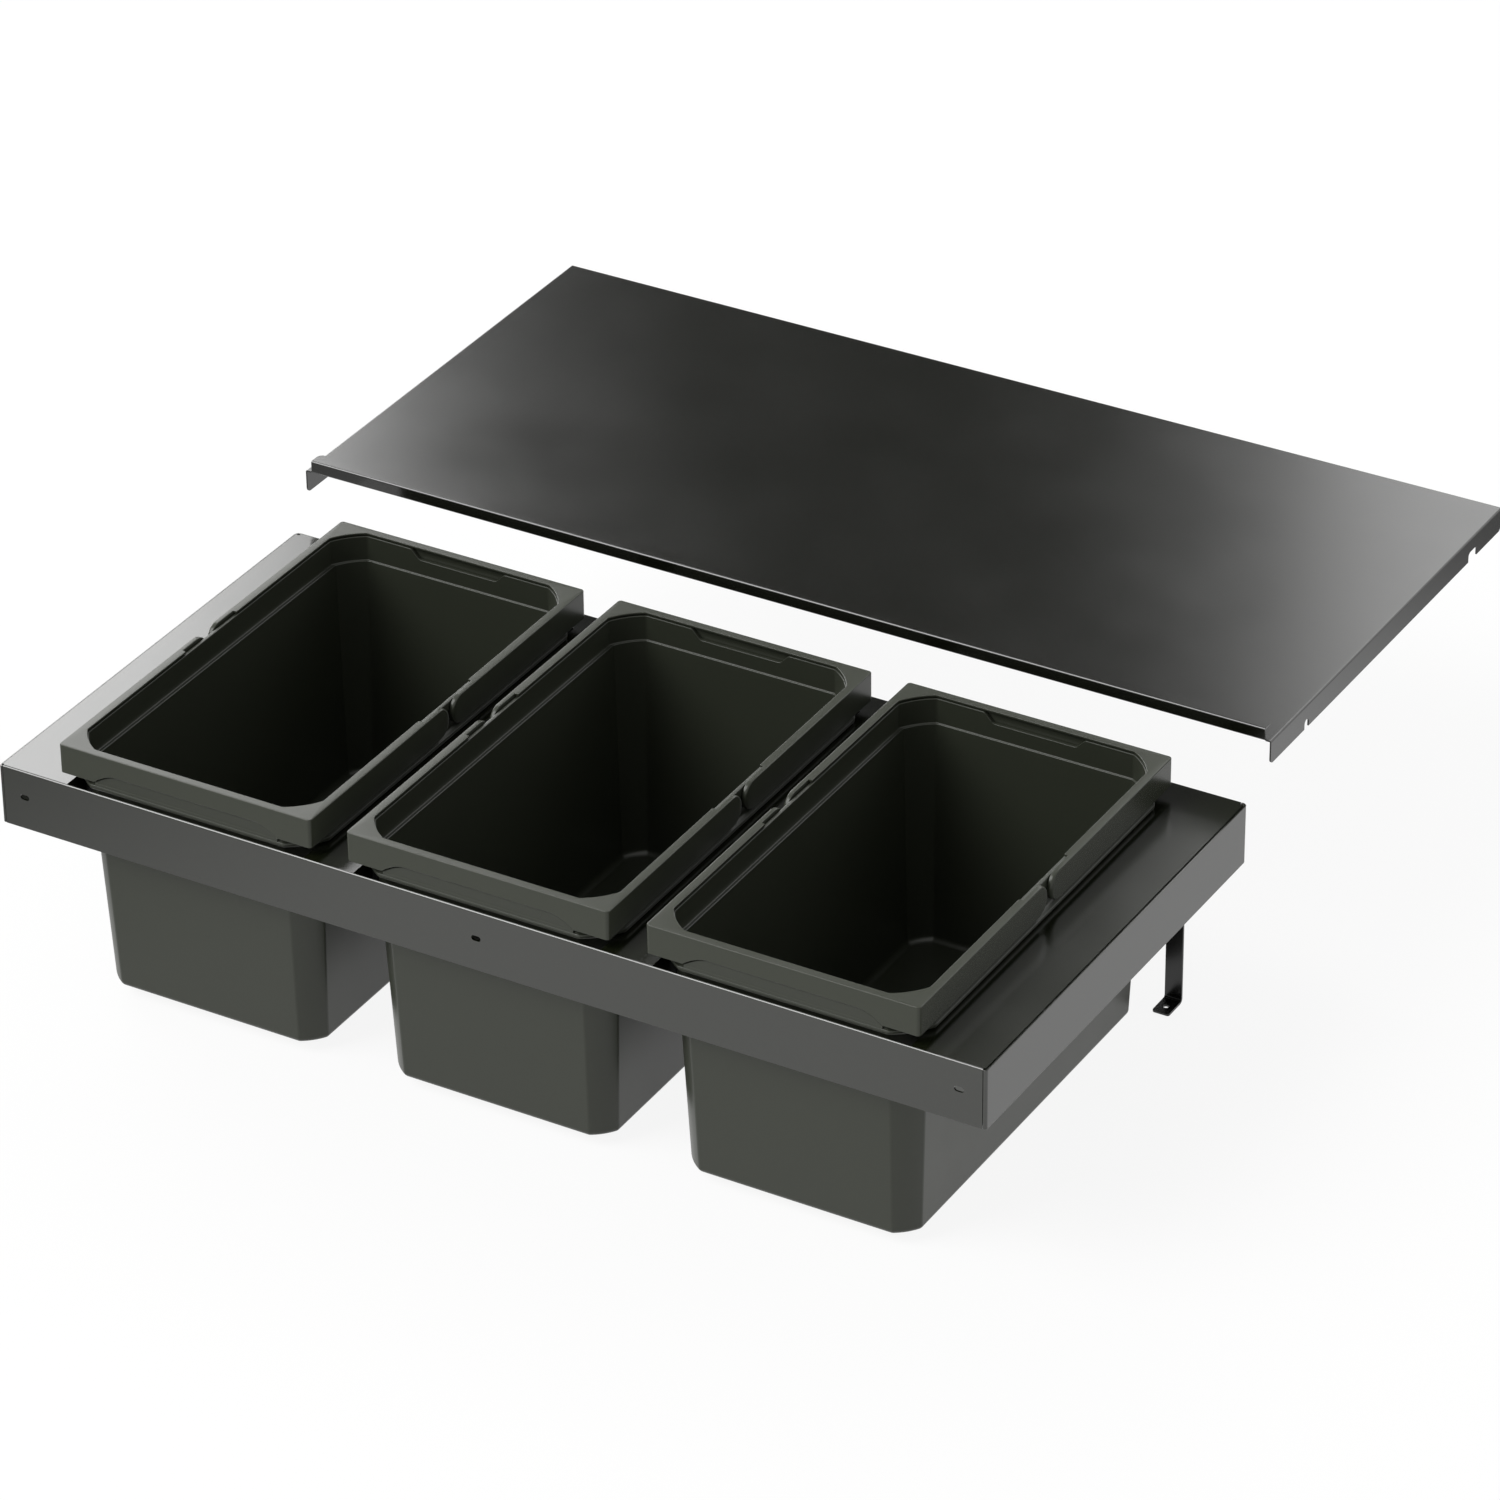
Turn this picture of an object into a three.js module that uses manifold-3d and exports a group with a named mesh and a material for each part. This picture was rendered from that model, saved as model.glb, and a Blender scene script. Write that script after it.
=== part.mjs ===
// Pull-out waste sorting insert for a wide base cabinet: a folded steel frame that carries three bins
// side by side, two swinging bails on each bin, two support straps and a sheet lid on cabinet pegs.
// Millimetres. +X to the right, +Y to the back, +Z up. The origin lies on the outer face of the front
// apron, in the middle of its width and originDrop below the top of the frame.
import * as THREE from "three";
import { mergeVertices } from "three/addons/utils/BufferGeometryUtils.js";
import Module from "manifold-3d";

const wasm = await Module();
wasm.setup();

// ---- Clearances ----
const seatGap = 0.3; // between two pieces that touch
const railGap = 0.5; // between a bin's collar and the skirt of its bails
const cutoutGap = 2.4; // between a bin's body and its cut-out in the frame
const bailGap = 31; // between the bails of neighbouring bins
const tipGap = 5; // between the ends of the front and the rear bail
const lidHeadroom = 8.1; // between the top of the bails and the underside of the lid
const pinGap = 0.3; // round a bail's pivot pin and round a rivet's shank
const rampGap = 0.7; // between a bail's finger arch and the grip ramp under it

// ---- Bins ----
const binCount = 3;
const collarWidth = 215; // outer width of a bin's collar
const collarDepth = 379.5; // outer depth of a bin's collar
const collarWall = 3.2;
const collarChamfer = 23; // corner cut of the collar, measured along each side
const collarEdge = 1; // rounding along the rim
const binWall = 2.5;
const bodyInset = 4; // how far the body stands back from the collar's side faces
const bodyInsetDepth = 2.35; // how far it stands back from the collar's front and rear faces
const bodyTaper = 7.1; // how far a side wall leans in, from the frame down to the floor
const bodyTaperDepth = 10.2; // how far the front and rear walls lean in
const bodyChamfer = 20; // corner cut of the body where it leaves the frame
const bodyChamferLow = 16; // corner cut of the body at its floor
const cornerBow = 0.26; // half the angle of the shallow arc that closes each corner cut, in radians
const cornerEase = 2.5; // length on each side of an arc's end over which its edge is eased
const binDrop = 183.2; // how far a bin hangs below the top of the frame
const floorThickness = 3;
const footRecess = 2; // depth of the shallow recess under the floor
const footRing = 12; // width of the standing ring round that recess
const footEdge = 5; // rounding of the bottom edge
const ledgeHeight = 9; // inner step of the wall, above the top of the frame
const lipReach = 3.6; // how far the carrying lip stands out from the collar
const lipHeight = 4.9; // where the lip starts to sweep back to the collar
const lipCove = 3; // height of that sweep
const lipEdge = 1.4; // rounding along the lower edge of the lip
const notchTop = 86; // width of the grip notch at the rim
const notchBottom = 73;
const notchDepth = 8;
const rampReach = 3; // how far the grip ramp stands out from the front and rear of the collar
const rampFlare = 0.4; // how much further its foot stands out
const rampFoot = 7.2; // height of that foot
const pinRadius = 4;
const pinLength = 2.2; // how far a pin reaches into the skirt of a bail
const pinLead = 0.5; // chamfer at the end of a pin

// ---- Bails ----
const skirtThickness = 4;
const skirtHeight = 24.6;
const skirtLift = 8.2; // lower edge of the skirt above the top of the frame
const flangeWidth = 7; // width of the flange that lies over the rim
const flangeThickness = 1.8;
const flangeRelief = 32; // length at each arm's end that has no flange
const bailCornerRadius = 3;
const bailEdge = 0.8; // rounding along the skirt's edges
const archHalfTop = 62; // half width of the finger arch at its highest
const archHalfFoot = 82; // half width of the finger arch at the skirt's lower edge
const archHeight = 8.8;
const archSoftness = 8; // how far its ends reach down beside the level part

// ---- Frame ----
const sheet = 1.5; // thickness of the frame's steel sheet
const apronHeight = 50.5;
const bendRadius = 2.5; // outside radius of the folds between top and aprons
const wrapRadius = 2; // outside radius where a side cheek wraps round the front corner
const wrapReach = 2.9; // how far the cheek reaches along the front apron
const rearWrapRadius = 4;
const rearWrapReach = 5;
const frontMargin = 2.5; // from the front apron's face to the bails
const rearMargin = 16.4; // from the bails to the rear apron's face
const sideMargin = 55; // from the outer bails to the frame's sides
const cutoutRadius = 5;
const cutoutFold = 18; // depth of the folded-down edge on each side of a cut-out
const weldFlange = 12; // width of a cheek's flange under the top panel
const originDrop = 36; // from the top of the frame down to the origin

// ---- Fixing slots in the front apron ----
const slotLength = 8;
const slotHeight = 4.5;
const slotDrop = 23; // slot centre below the top of the frame
const slotInset = 22; // centre of an outer slot from the side of the frame

// ---- Straps and rivets ----
const strapWidth = 14.4;
const strapThickness = 2;
const strapInset = 56; // strap centre from the side of the frame
const strapTop = 7; // strap's upper end below the top of the frame
const strapBend = 4; // outside radius of the bend at the foot
const footDrop = 191.5; // underside of the foot below the top of the frame
const footLength = 23;
const footHoleRadius = 2.2;
const footHoleInset = 9.5; // hole centre from the tip of the foot
const footCorner = 2;
const rivetDrops = [17, 37]; // rivet centres below the top of the frame
const rivetRadius = 2;
const rivetHeadRadius = 3.6;
const rivetHeadHeight = 1.1;

// ---- Lid ----
const lidSheet = 1.2;
const lidDepth = 405.5;
const lidOverhang = 5.5; // on each side of the frame
const lidRunOut = 24.9; // from the frame's rear face to the lid's front edge, insert pulled out
const lidApron = 20; // height of the side aprons
const lidBend = 2;
const lipRise = 9.4; // height of the front upstand above the sheet
const lipReturn = 13; // depth of the flange that returns from the upstand
const lipReturnCorner = 5;
const lipBend = 1.6;
const lipRelief = 0.6; // slit between the upstand's ends and the sheet's corners
const lidApronCorner = 4;
const frontPegNotch = { place: 60.5, width: 7, height: 7.5 };
const rearPegNotch = { place: 353.5, width: 15, height: 8 };
const pegNotchRadius = 3.4;

// ---- Colours ----
const steelPaint = { color: 0x5a5a55, roughness: 0.42, metalness: 0.35 };
const lidPaint = { color: 0x55554f, roughness: 0.34, metalness: 0.45 };
const strapSteel = { color: 0x3b3a35, roughness: 0.5, metalness: 0.5 };
const rivetSteel = { color: 0x8c8c88, roughness: 0.35, metalness: 0.9 };
const binPlastic = { color: 0x454841, roughness: 0.55, metalness: 0 };
const bailPlastic = { color: 0x4d5049, roughness: 0.5, metalness: 0 };

// ---- Sizes that follow ----
const bailWidth = collarWidth + 2 * (railGap + skirtThickness);
const bailDepth = collarDepth + 2 * (railGap + skirtThickness);
const skirtTop = skirtLift + skirtHeight;
const flangeUnderside = skirtTop - flangeThickness;
const rimTop = flangeUnderside - seatGap;
const pivotHeight = skirtLift + skirtHeight / 2;
const tipRadius = skirtHeight / 2;
const pivotOffset = tipGap / 2 + tipRadius;
const binPitch = bailWidth + bailGap;
const frameWidth = (binCount - 1) * binPitch + bailWidth + 2 * sideMargin;
const frameDepth = frontMargin + bailDepth + rearMargin;
const binCentreY = frontMargin + bailDepth / 2;
const lidWidth = frameWidth + 2 * lidOverhang;
const lidTop = skirtTop + lidHeadroom + lidSheet;

// ---- Facets ----
const cornerSteps = 3; // steps along the shallow arc of a corner cut
const pinFacets = 16;
const rivetFacets = 12;

// ---- Solids ----
function solidOf(geometry, matrix) {
  const placed = geometry.clone();
  if (matrix) {
    placed.applyMatrix4(matrix);
  }
  placed.deleteAttribute("normal");
  placed.deleteAttribute("uv");
  const merged = mergeVertices(placed, 1e-4);
  return new wasm.Manifold(
    new wasm.Mesh({
      numProp: 3,
      vertProperties: new Float32Array(merged.attributes.position.array),
      triVerts: new Uint32Array(merged.index.array),
    }),
  );
}

function geometryOf(solid) {
  const mesh = solid.getMesh();
  const positions = new Float32Array(mesh.numVert * 3);
  for (let i = 0; i < mesh.numVert; i += 1) {
    for (let k = 0; k < 3; k += 1) {
      positions[3 * i + k] = mesh.vertProperties[mesh.numProp * i + k];
    }
  }
  const indexed = new THREE.BufferGeometry();
  indexed.setAttribute("position", new THREE.BufferAttribute(positions, 3));
  indexed.setIndex(new THREE.BufferAttribute(new Uint32Array(mesh.triVerts), 1));
  const flat = indexed.toNonIndexed();
  flat.computeVertexNormals();
  return flat;
}

// A shape drawn in X and Y, raised from z = low to z = high.
function prismUp(shape, low, high, curveSegments = 6) {
  const geometry = new THREE.ExtrudeGeometry(shape, {
    depth: high - low,
    bevelEnabled: false,
    curveSegments,
  });
  return solidOf(geometry, new THREE.Matrix4().makeTranslation(0, 0, low));
}

// A shape drawn in Y and Z, run from x = low to x = high.
function prismAcross(shape, low, high, curveSegments = 6) {
  const geometry = new THREE.ExtrudeGeometry(shape, {
    depth: high - low,
    bevelEnabled: false,
    curveSegments,
  });
  const turn = new THREE.Matrix4().makeBasis(
    new THREE.Vector3(0, 1, 0),
    new THREE.Vector3(0, 0, 1),
    new THREE.Vector3(1, 0, 0),
  );
  turn.setPosition(low, 0, 0);
  return solidOf(geometry, turn);
}

// A shape drawn in X and Z, run from y = low to y = high.
function prismBack(shape, low, high, curveSegments = 6) {
  const geometry = new THREE.ExtrudeGeometry(shape, {
    depth: high - low,
    bevelEnabled: false,
    curveSegments,
  });
  const turn = new THREE.Matrix4().makeBasis(
    new THREE.Vector3(1, 0, 0),
    new THREE.Vector3(0, 0, 1),
    new THREE.Vector3(0, -1, 0),
  );
  turn.setPosition(0, high, 0);
  return solidOf(geometry, turn);
}

// A rectangle with its own radius at each corner: low-low, high-low, high-high, low-high.
function roundedRectangle(x0, y0, x1, y1, radii) {
  const [a, b, c, d] = radii;
  const quarter = Math.PI / 2;
  const shape = new THREE.Shape();
  shape.moveTo(x0 + a, y0);
  shape.lineTo(x1 - b, y0);
  if (b > 0) {
    shape.absarc(x1 - b, y0 + b, b, -quarter, 0, false);
  }
  shape.lineTo(x1, y1 - c);
  if (c > 0) {
    shape.absarc(x1 - c, y1 - c, c, 0, quarter, false);
  }
  shape.lineTo(x0 + d, y1);
  if (d > 0) {
    shape.absarc(x0 + d, y1 - d, d, quarter, 2 * quarter, false);
  }
  shape.lineTo(x0, y0 + a);
  if (a > 0) {
    shape.absarc(x0 + a, y0 + a, a, 2 * quarter, 3 * quarter, false);
  }
  return shape;
}

function circleShape(x, y, radius) {
  return new THREE.Shape().absarc(x, y, radius, 0, 2 * Math.PI, false);
}

// A turned piece round the X axis; the profile holds [radius, x] pairs and starts and ends on the axis.
function turnedAcross(profile, segments) {
  const points = profile.map(([radius, x]) => new THREE.Vector2(radius, x));
  const turn = new THREE.Matrix4().makeRotationZ(-Math.PI / 2);
  return solidOf(new THREE.LatheGeometry(points, segments), turn);
}

function mirroredX(solid) {
  return solid.mirror([1, 0, 0]);
}

// ---- Bin ----
// A corner cut off by a shallow arc: its points, as distances in from the two sides that meet there.
function cutCorner(chamfer) {
  const radius = chamfer / Math.SQRT2 / Math.sin(cornerBow);
  const middle = chamfer / 2 + (radius * Math.cos(cornerBow)) / Math.SQRT2;
  const sweep = cornerBow - cornerEase / radius;
  const points = [[0, chamfer + cornerEase]];
  for (let step = 0; step <= cornerSteps; step += 1) {
    const angle = Math.PI / 4 + sweep * ((2 * step) / cornerSteps - 1);
    points.push([middle - radius * Math.cos(angle), middle - radius * Math.sin(angle)]);
  }
  points.push([chamfer + cornerEase, 0]);
  return points;
}

// One horizontal section of a bin: a rectangle with its four corners cut.
function binRing(halfWidth, halfDepth, chamfer, z) {
  const corner = cutCorner(chamfer);
  const turned = [...corner].reverse();
  return [
    ...corner.map(([x, y]) => [halfWidth - x, halfDepth - y, z]),
    ...turned.map(([x, y]) => [x - halfWidth, halfDepth - y, z]),
    ...corner.map(([x, y]) => [x - halfWidth, y - halfDepth, z]),
    ...turned.map(([x, y]) => [halfWidth - x, y - halfDepth, z]),
  ];
}

// The closed surface through a row of rings, from the floor inside, over the rim, to the underside.
function loftedSolid(rings) {
  const count = rings[0].length;
  const positions = [];
  const indices = [];
  rings.forEach((ring) => ring.forEach((point) => positions.push(...point)));
  for (let level = 0; level + 1 < rings.length; level += 1) {
    for (let i = 0; i < count; i += 1) {
      const next = (i + 1) % count;
      const a = level * count + i;
      const b = (level + 1) * count + i;
      const c = (level + 1) * count + next;
      const d = level * count + next;
      indices.push(a, b, c, a, c, d);
    }
  }
  const last = (rings.length - 1) * count;
  for (let i = 1; i + 1 < count; i += 1) {
    indices.push(0, i, i + 1);
    indices.push(last, last + i + 1, last + i);
  }
  const geometry = new THREE.BufferGeometry();
  geometry.setAttribute("position", new THREE.Float32BufferAttribute(positions, 3));
  geometry.setIndex(indices);
  return solidOf(geometry);
}

// Half width and half depth of the tapered body at a height, and its corner cut there.
function bodySection(z) {
  const low = -z / binDrop;
  return {
    halfWidth: collarWidth / 2 - bodyInset - bodyTaper * low,
    halfDepth: collarDepth / 2 - bodyInsetDepth - bodyTaperDepth * low,
    chamfer: bodyChamfer + (bodyChamferLow - bodyChamfer) * Math.max(low, 0),
  };
}

// The corner cut that keeps the wall even when the outline moves in by an inset.
function insetChamfer(chamfer, inset) {
  return chamfer - inset * (2 - Math.SQRT2);
}

function bodyRing(z, inset) {
  const section = bodySection(z);
  return binRing(
    section.halfWidth - inset,
    section.halfDepth - inset,
    insetChamfer(section.chamfer, inset),
    z,
  );
}

function collarRing(z, inset) {
  return binRing(
    collarWidth / 2 - inset,
    collarDepth / 2 - inset,
    insetChamfer(collarChamfer, inset),
    z,
  );
}

function binShell() {
  const foot = -binDrop;
  const floorTop = foot + footRecess + floorThickness;
  const inside = [
    bodyRing(floorTop, binWall + footEdge),
    bodyRing(floorTop + footEdge * 0.3, binWall + footEdge * 0.3),
    bodyRing(floorTop + footEdge, binWall),
    bodyRing(ledgeHeight, binWall),
    collarRing(ledgeHeight + seatGap, collarWall),
    collarRing(rimTop - collarEdge / 2, collarWall),
    collarRing(rimTop, collarWall - collarEdge / 2),
  ];
  const outside = [
    collarRing(rimTop, collarEdge),
    collarRing(rimTop - collarEdge, 0),
    collarRing(lipHeight + lipCove, 0),
    collarRing(lipHeight + lipCove * 0.35, -lipReach * 0.45),
    collarRing(lipHeight, -lipReach),
    collarRing(seatGap + lipEdge, -lipReach),
    collarRing(seatGap, lipEdge - lipReach),
    bodyRing(seatGap, 0),
    bodyRing(foot + footEdge, 0),
    bodyRing(foot + footEdge * 0.3, footEdge * 0.3),
    bodyRing(foot, footEdge),
    bodyRing(foot, footRing),
    bodyRing(foot + footRecess, footRing + footRecess),
  ];
  return loftedSolid([...inside, ...outside]);
}

// The cut in the rim that lets fingers reach under a bail's flange.
function gripNotch() {
  const easing = notchDepth / 3;
  const slope = (notchTop - notchBottom) / 2 / notchDepth;
  const overshoot = 2;
  const shape = new THREE.Shape();
  shape.moveTo(-notchTop / 2 - slope * overshoot, rimTop + overshoot);
  shape.lineTo(-notchBottom / 2 - slope * easing, rimTop - notchDepth + easing);
  shape.quadraticCurveTo(
    -notchBottom / 2,
    rimTop - notchDepth,
    -notchBottom / 2 + easing,
    rimTop - notchDepth,
  );
  shape.lineTo(notchBottom / 2 - easing, rimTop - notchDepth);
  shape.quadraticCurveTo(
    notchBottom / 2,
    rimTop - notchDepth,
    notchBottom / 2 + slope * easing,
    rimTop - notchDepth + easing,
  );
  shape.lineTo(notchTop / 2 + slope * overshoot, rimTop + overshoot);
  const inner = collarDepth / 2 - collarWall;
  return prismBack(shape, inner - overshoot, collarDepth / 2 + overshoot, 4);
}

// The finger arch of a bail, drawn in X and Z down to z = low and drawn smaller by a gap.
function archOutline(gap, low) {
  const top = skirtLift + archHeight - gap;
  const foot = archHalfFoot - gap;
  const shape = new THREE.Shape();
  shape.moveTo(-foot, low);
  shape.lineTo(-foot, skirtLift);
  shape.quadraticCurveTo(-archHalfTop - archSoftness, top, -archHalfTop, top);
  shape.lineTo(archHalfTop, top);
  shape.quadraticCurveTo(archHalfTop + archSoftness, top, foot, skirtLift);
  shape.lineTo(foot, low);
  return shape;
}

// The face that fills a bail's finger arch, almost flush with its skirt, down to the lip.
function gripRamp() {
  const wall = collarDepth / 2;
  const low = lipHeight - 1;
  const top = skirtLift + archHeight;
  const shape = new THREE.Shape();
  shape.moveTo(wall - 1, low);
  shape.lineTo(wall + rampReach + rampFlare, low);
  shape.lineTo(wall + rampReach + rampFlare, rampFoot);
  shape.quadraticCurveTo(wall + rampReach, rampFoot + rampFlare, wall + rampReach, rampFoot + 2);
  shape.lineTo(wall + rampReach, top);
  shape.lineTo(wall - 1, top);
  const outline = archOutline(rampGap, low - 1);
  return prismAcross(shape, -archHalfFoot, archHalfFoot, 3).intersect(
    prismBack(outline, wall - 2, wall + skirtThickness, 5),
  );
}

function pivotPin() {
  const root = collarWidth / 2 - 1;
  const end = collarWidth / 2 + railGap + pinLength;
  return turnedAcross(
    [
      [0, root],
      [pinRadius, root],
      [pinRadius, end - pinLead],
      [pinRadius - pinLead, end],
      [0, end],
    ],
    pinFacets,
  );
}

function binSolid() {
  let bin = binShell();
  const ramp = gripRamp();
  const notch = gripNotch();
  for (const turn of [0, 180]) {
    bin = bin.add(ramp.rotate([0, 0, turn]));
    bin = bin.subtract(notch.rotate([0, 0, turn]));
    for (const side of [-pivotOffset, pivotOffset]) {
      const pin = pivotPin().translate([0, side, pivotHeight]);
      bin = bin.add(pin.rotate([0, 0, turn]));
    }
  }
  return bin;
}

// ---- Bail ----
// The front bail, drawn round the centre of its bin. Its arms end in a half round at the pivot.
function bailSolid() {
  const halfWidth = bailWidth / 2;
  const front = -bailDepth / 2;
  const tip = -tipGap / 2;
  const beyond = tip + 1;
  const round = bailCornerRadius - bailEdge;
  const outline = roundedRectangle(
    -halfWidth + bailEdge,
    front + bailEdge,
    halfWidth - bailEdge,
    beyond,
    [round, round, 0, 0],
  );
  const blank = new THREE.ExtrudeGeometry(outline, {
    depth: skirtHeight - 2 * bailEdge,
    bevelEnabled: true,
    bevelThickness: bailEdge,
    bevelSize: bailEdge,
    bevelSegments: 2,
    curveSegments: 5,
  });
  const lift = new THREE.Matrix4().makeTranslation(0, 0, skirtLift + bailEdge);
  const pocketHalf = halfWidth - skirtThickness;
  const openHalf = halfWidth - flangeWidth;
  const openFront = front + flangeWidth;
  const cornerInside = bailCornerRadius / 2;
  const pocket = prismUp(
    roundedRectangle(-pocketHalf, front + skirtThickness, pocketHalf, beyond + 5, [
      cornerInside,
      cornerInside,
      0,
      0,
    ]),
    skirtLift - 1,
    flangeUnderside,
  );
  const corner = cutCorner(
    insetChamfer(collarChamfer, flangeWidth - skirtThickness - railGap),
  );
  const open = new THREE.Shape();
  open.moveTo(-openHalf, beyond + 5);
  corner.forEach(([x, y]) => open.lineTo(x - openHalf, openFront + y));
  [...corner].reverse().forEach(([x, y]) => open.lineTo(openHalf - x, openFront + y));
  open.lineTo(openHalf, beyond + 5);
  const opening = prismUp(open, skirtLift - 1, skirtTop + 1);
  const relief = prismUp(
    roundedRectangle(-pocketHalf, tip - flangeRelief, pocketHalf, beyond + 5, [1, 1, 0, 0]),
    skirtLift - 1,
    skirtTop + 1,
    3,
  );
  const arch = archOutline(0, skirtLift - 1);
  const armSide = new THREE.Shape();
  armSide.moveTo(front - 1, skirtLift - 1);
  armSide.lineTo(front - 1, skirtTop + 1);
  armSide.lineTo(-pivotOffset, skirtTop + 1);
  armSide.lineTo(-pivotOffset, skirtTop);
  armSide.absarc(-pivotOffset, pivotHeight, tipRadius, Math.PI / 2, -Math.PI / 2, true);
  armSide.lineTo(-pivotOffset, skirtLift - 1);
  const holeEnd = pocketHalf + pinLength + pinGap;
  const hole = turnedAcross(
    [
      [0, pocketHalf - 1],
      [pinRadius + pinGap, pocketHalf - 1],
      [pinRadius + pinGap, holeEnd],
      [0, holeEnd],
    ],
    pinFacets,
  ).translate([0, -pivotOffset, pivotHeight]);
  return solidOf(blank, lift)
    .subtract(pocket)
    .subtract(opening)
    .subtract(relief)
    .subtract(prismBack(arch, front - 1, front + skirtThickness + 1, 6))
    .intersect(prismAcross(armSide, -halfWidth - 1, halfWidth + 1, 10))
    .subtract(hole)
    .subtract(mirroredX(hole));
}

// ---- Frame ----
function binCentres() {
  const first = -((binCount - 1) / 2) * binPitch;
  return Array.from({ length: binCount }, (_, index) => first + index * binPitch);
}

function rivetPlaces() {
  return rivetDrops.map((drop) => ({ x: frameWidth / 2 - strapInset, z: -drop }));
}

function topPanelSolid() {
  const r = bendRadius;
  const quarter = Math.PI / 2;
  const profile = new THREE.Shape();
  profile.moveTo(0, -apronHeight);
  profile.lineTo(sheet, -apronHeight);
  profile.lineTo(sheet, -r);
  profile.absarc(r, -r, r - sheet, 2 * quarter, quarter, true);
  profile.lineTo(frameDepth - r, -sheet);
  profile.absarc(frameDepth - r, -r, r - sheet, quarter, 0, true);
  profile.lineTo(frameDepth - sheet, -apronHeight);
  profile.lineTo(frameDepth, -apronHeight);
  profile.lineTo(frameDepth, -r);
  profile.absarc(frameDepth - r, -r, r, 0, quarter, false);
  profile.lineTo(r, 0);
  profile.absarc(r, -r, r, quarter, 2 * quarter, false);
  const half = frameWidth / 2 - sheet - seatGap;
  let panel = prismAcross(profile, -half, half, 4);
  const body = bodySection(0);
  const cutHalf = body.halfWidth + cutoutGap;
  const cutRear = binCentreY + body.halfDepth + cutoutGap;
  for (const x of binCentres()) {
    const outline = roundedRectangle(x - cutHalf, sheet, x + cutHalf, cutRear, [
      0,
      0,
      cutoutRadius,
      cutoutRadius,
    ]);
    panel = panel.subtract(prismUp(outline, -sheet - r, 1, 4));
    for (const side of [x - cutHalf - sheet, x + cutHalf]) {
      const fold = roundedRectangle(side, 2 * r, side + sheet, cutRear - 2 * r, [0, 0, 0, 0]);
      panel = panel.add(prismUp(fold, -cutoutFold, -sheet / 2));
    }
  }
  const slotSpread = frameWidth / 2 - slotInset;
  for (const x of [-slotSpread, 0, slotSpread]) {
    const round = slotHeight / 2;
    const slot = roundedRectangle(
      x - slotLength / 2,
      -slotDrop - round,
      x + slotLength / 2,
      -slotDrop + round,
      [round, round, round, round],
    );
    panel = panel.subtract(prismBack(slot, -1, sheet + 1, 5));
  }
  const corners = [
    [wrapReach, 0, wrapRadius + seatGap],
    [rearWrapReach, frameDepth - rearWrapRadius - seatGap, frameDepth],
  ];
  for (const [reach, low, high] of corners) {
    const inner = frameWidth / 2 - reach - seatGap;
    const corner = roundedRectangle(inner, low - 1, frameWidth / 2, high + 1, [0, 0, 0, 0]);
    const cut = prismUp(corner, -apronHeight - 1, 1);
    panel = panel.subtract(cut).subtract(mirroredX(cut));
  }
  for (const { x, z } of rivetPlaces()) {
    const hole = prismBack(
      circleShape(x, z, rivetRadius + pinGap),
      frameDepth - sheet - 1,
      frameDepth + 1,
      10,
    );
    panel = panel.subtract(hole).subtract(mirroredX(hole));
  }
  return panel;
}

// The right side cheek: a wall that wraps round both corners, with a welding flange under the top.
function cheekSolid() {
  const half = frameWidth / 2;
  const quarter = Math.PI / 2;
  const front = wrapRadius;
  const rear = rearWrapRadius;
  const wall = new THREE.Shape();
  wall.moveTo(half - wrapReach, 0);
  wall.lineTo(half - front, 0);
  wall.absarc(half - front, front, front, -quarter, 0, false);
  wall.lineTo(half, frameDepth - rear);
  wall.absarc(half - rear, frameDepth - rear, rear, 0, quarter, false);
  wall.lineTo(half - rearWrapReach, frameDepth);
  wall.lineTo(half - rearWrapReach, frameDepth - sheet);
  wall.lineTo(half - rear, frameDepth - sheet);
  wall.absarc(half - rear, frameDepth - rear, rear - sheet, quarter, 0, true);
  wall.lineTo(half - sheet, front);
  wall.absarc(half - front, front, front - sheet, 0, -quarter, true);
  wall.lineTo(half - wrapReach, sheet);
  const flangeTop = -sheet - seatGap;
  const flangeEnd = Math.max(front, rear) + seatGap;
  const flange = roundedRectangle(
    half - sheet - weldFlange,
    flangeEnd,
    half - sheet / 2,
    frameDepth - flangeEnd,
    [3, 0, 0, 3],
  );
  return prismUp(wall, -apronHeight, 0, 6).add(
    prismUp(flange, flangeTop - sheet, flangeTop, 3),
  );
}

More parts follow.
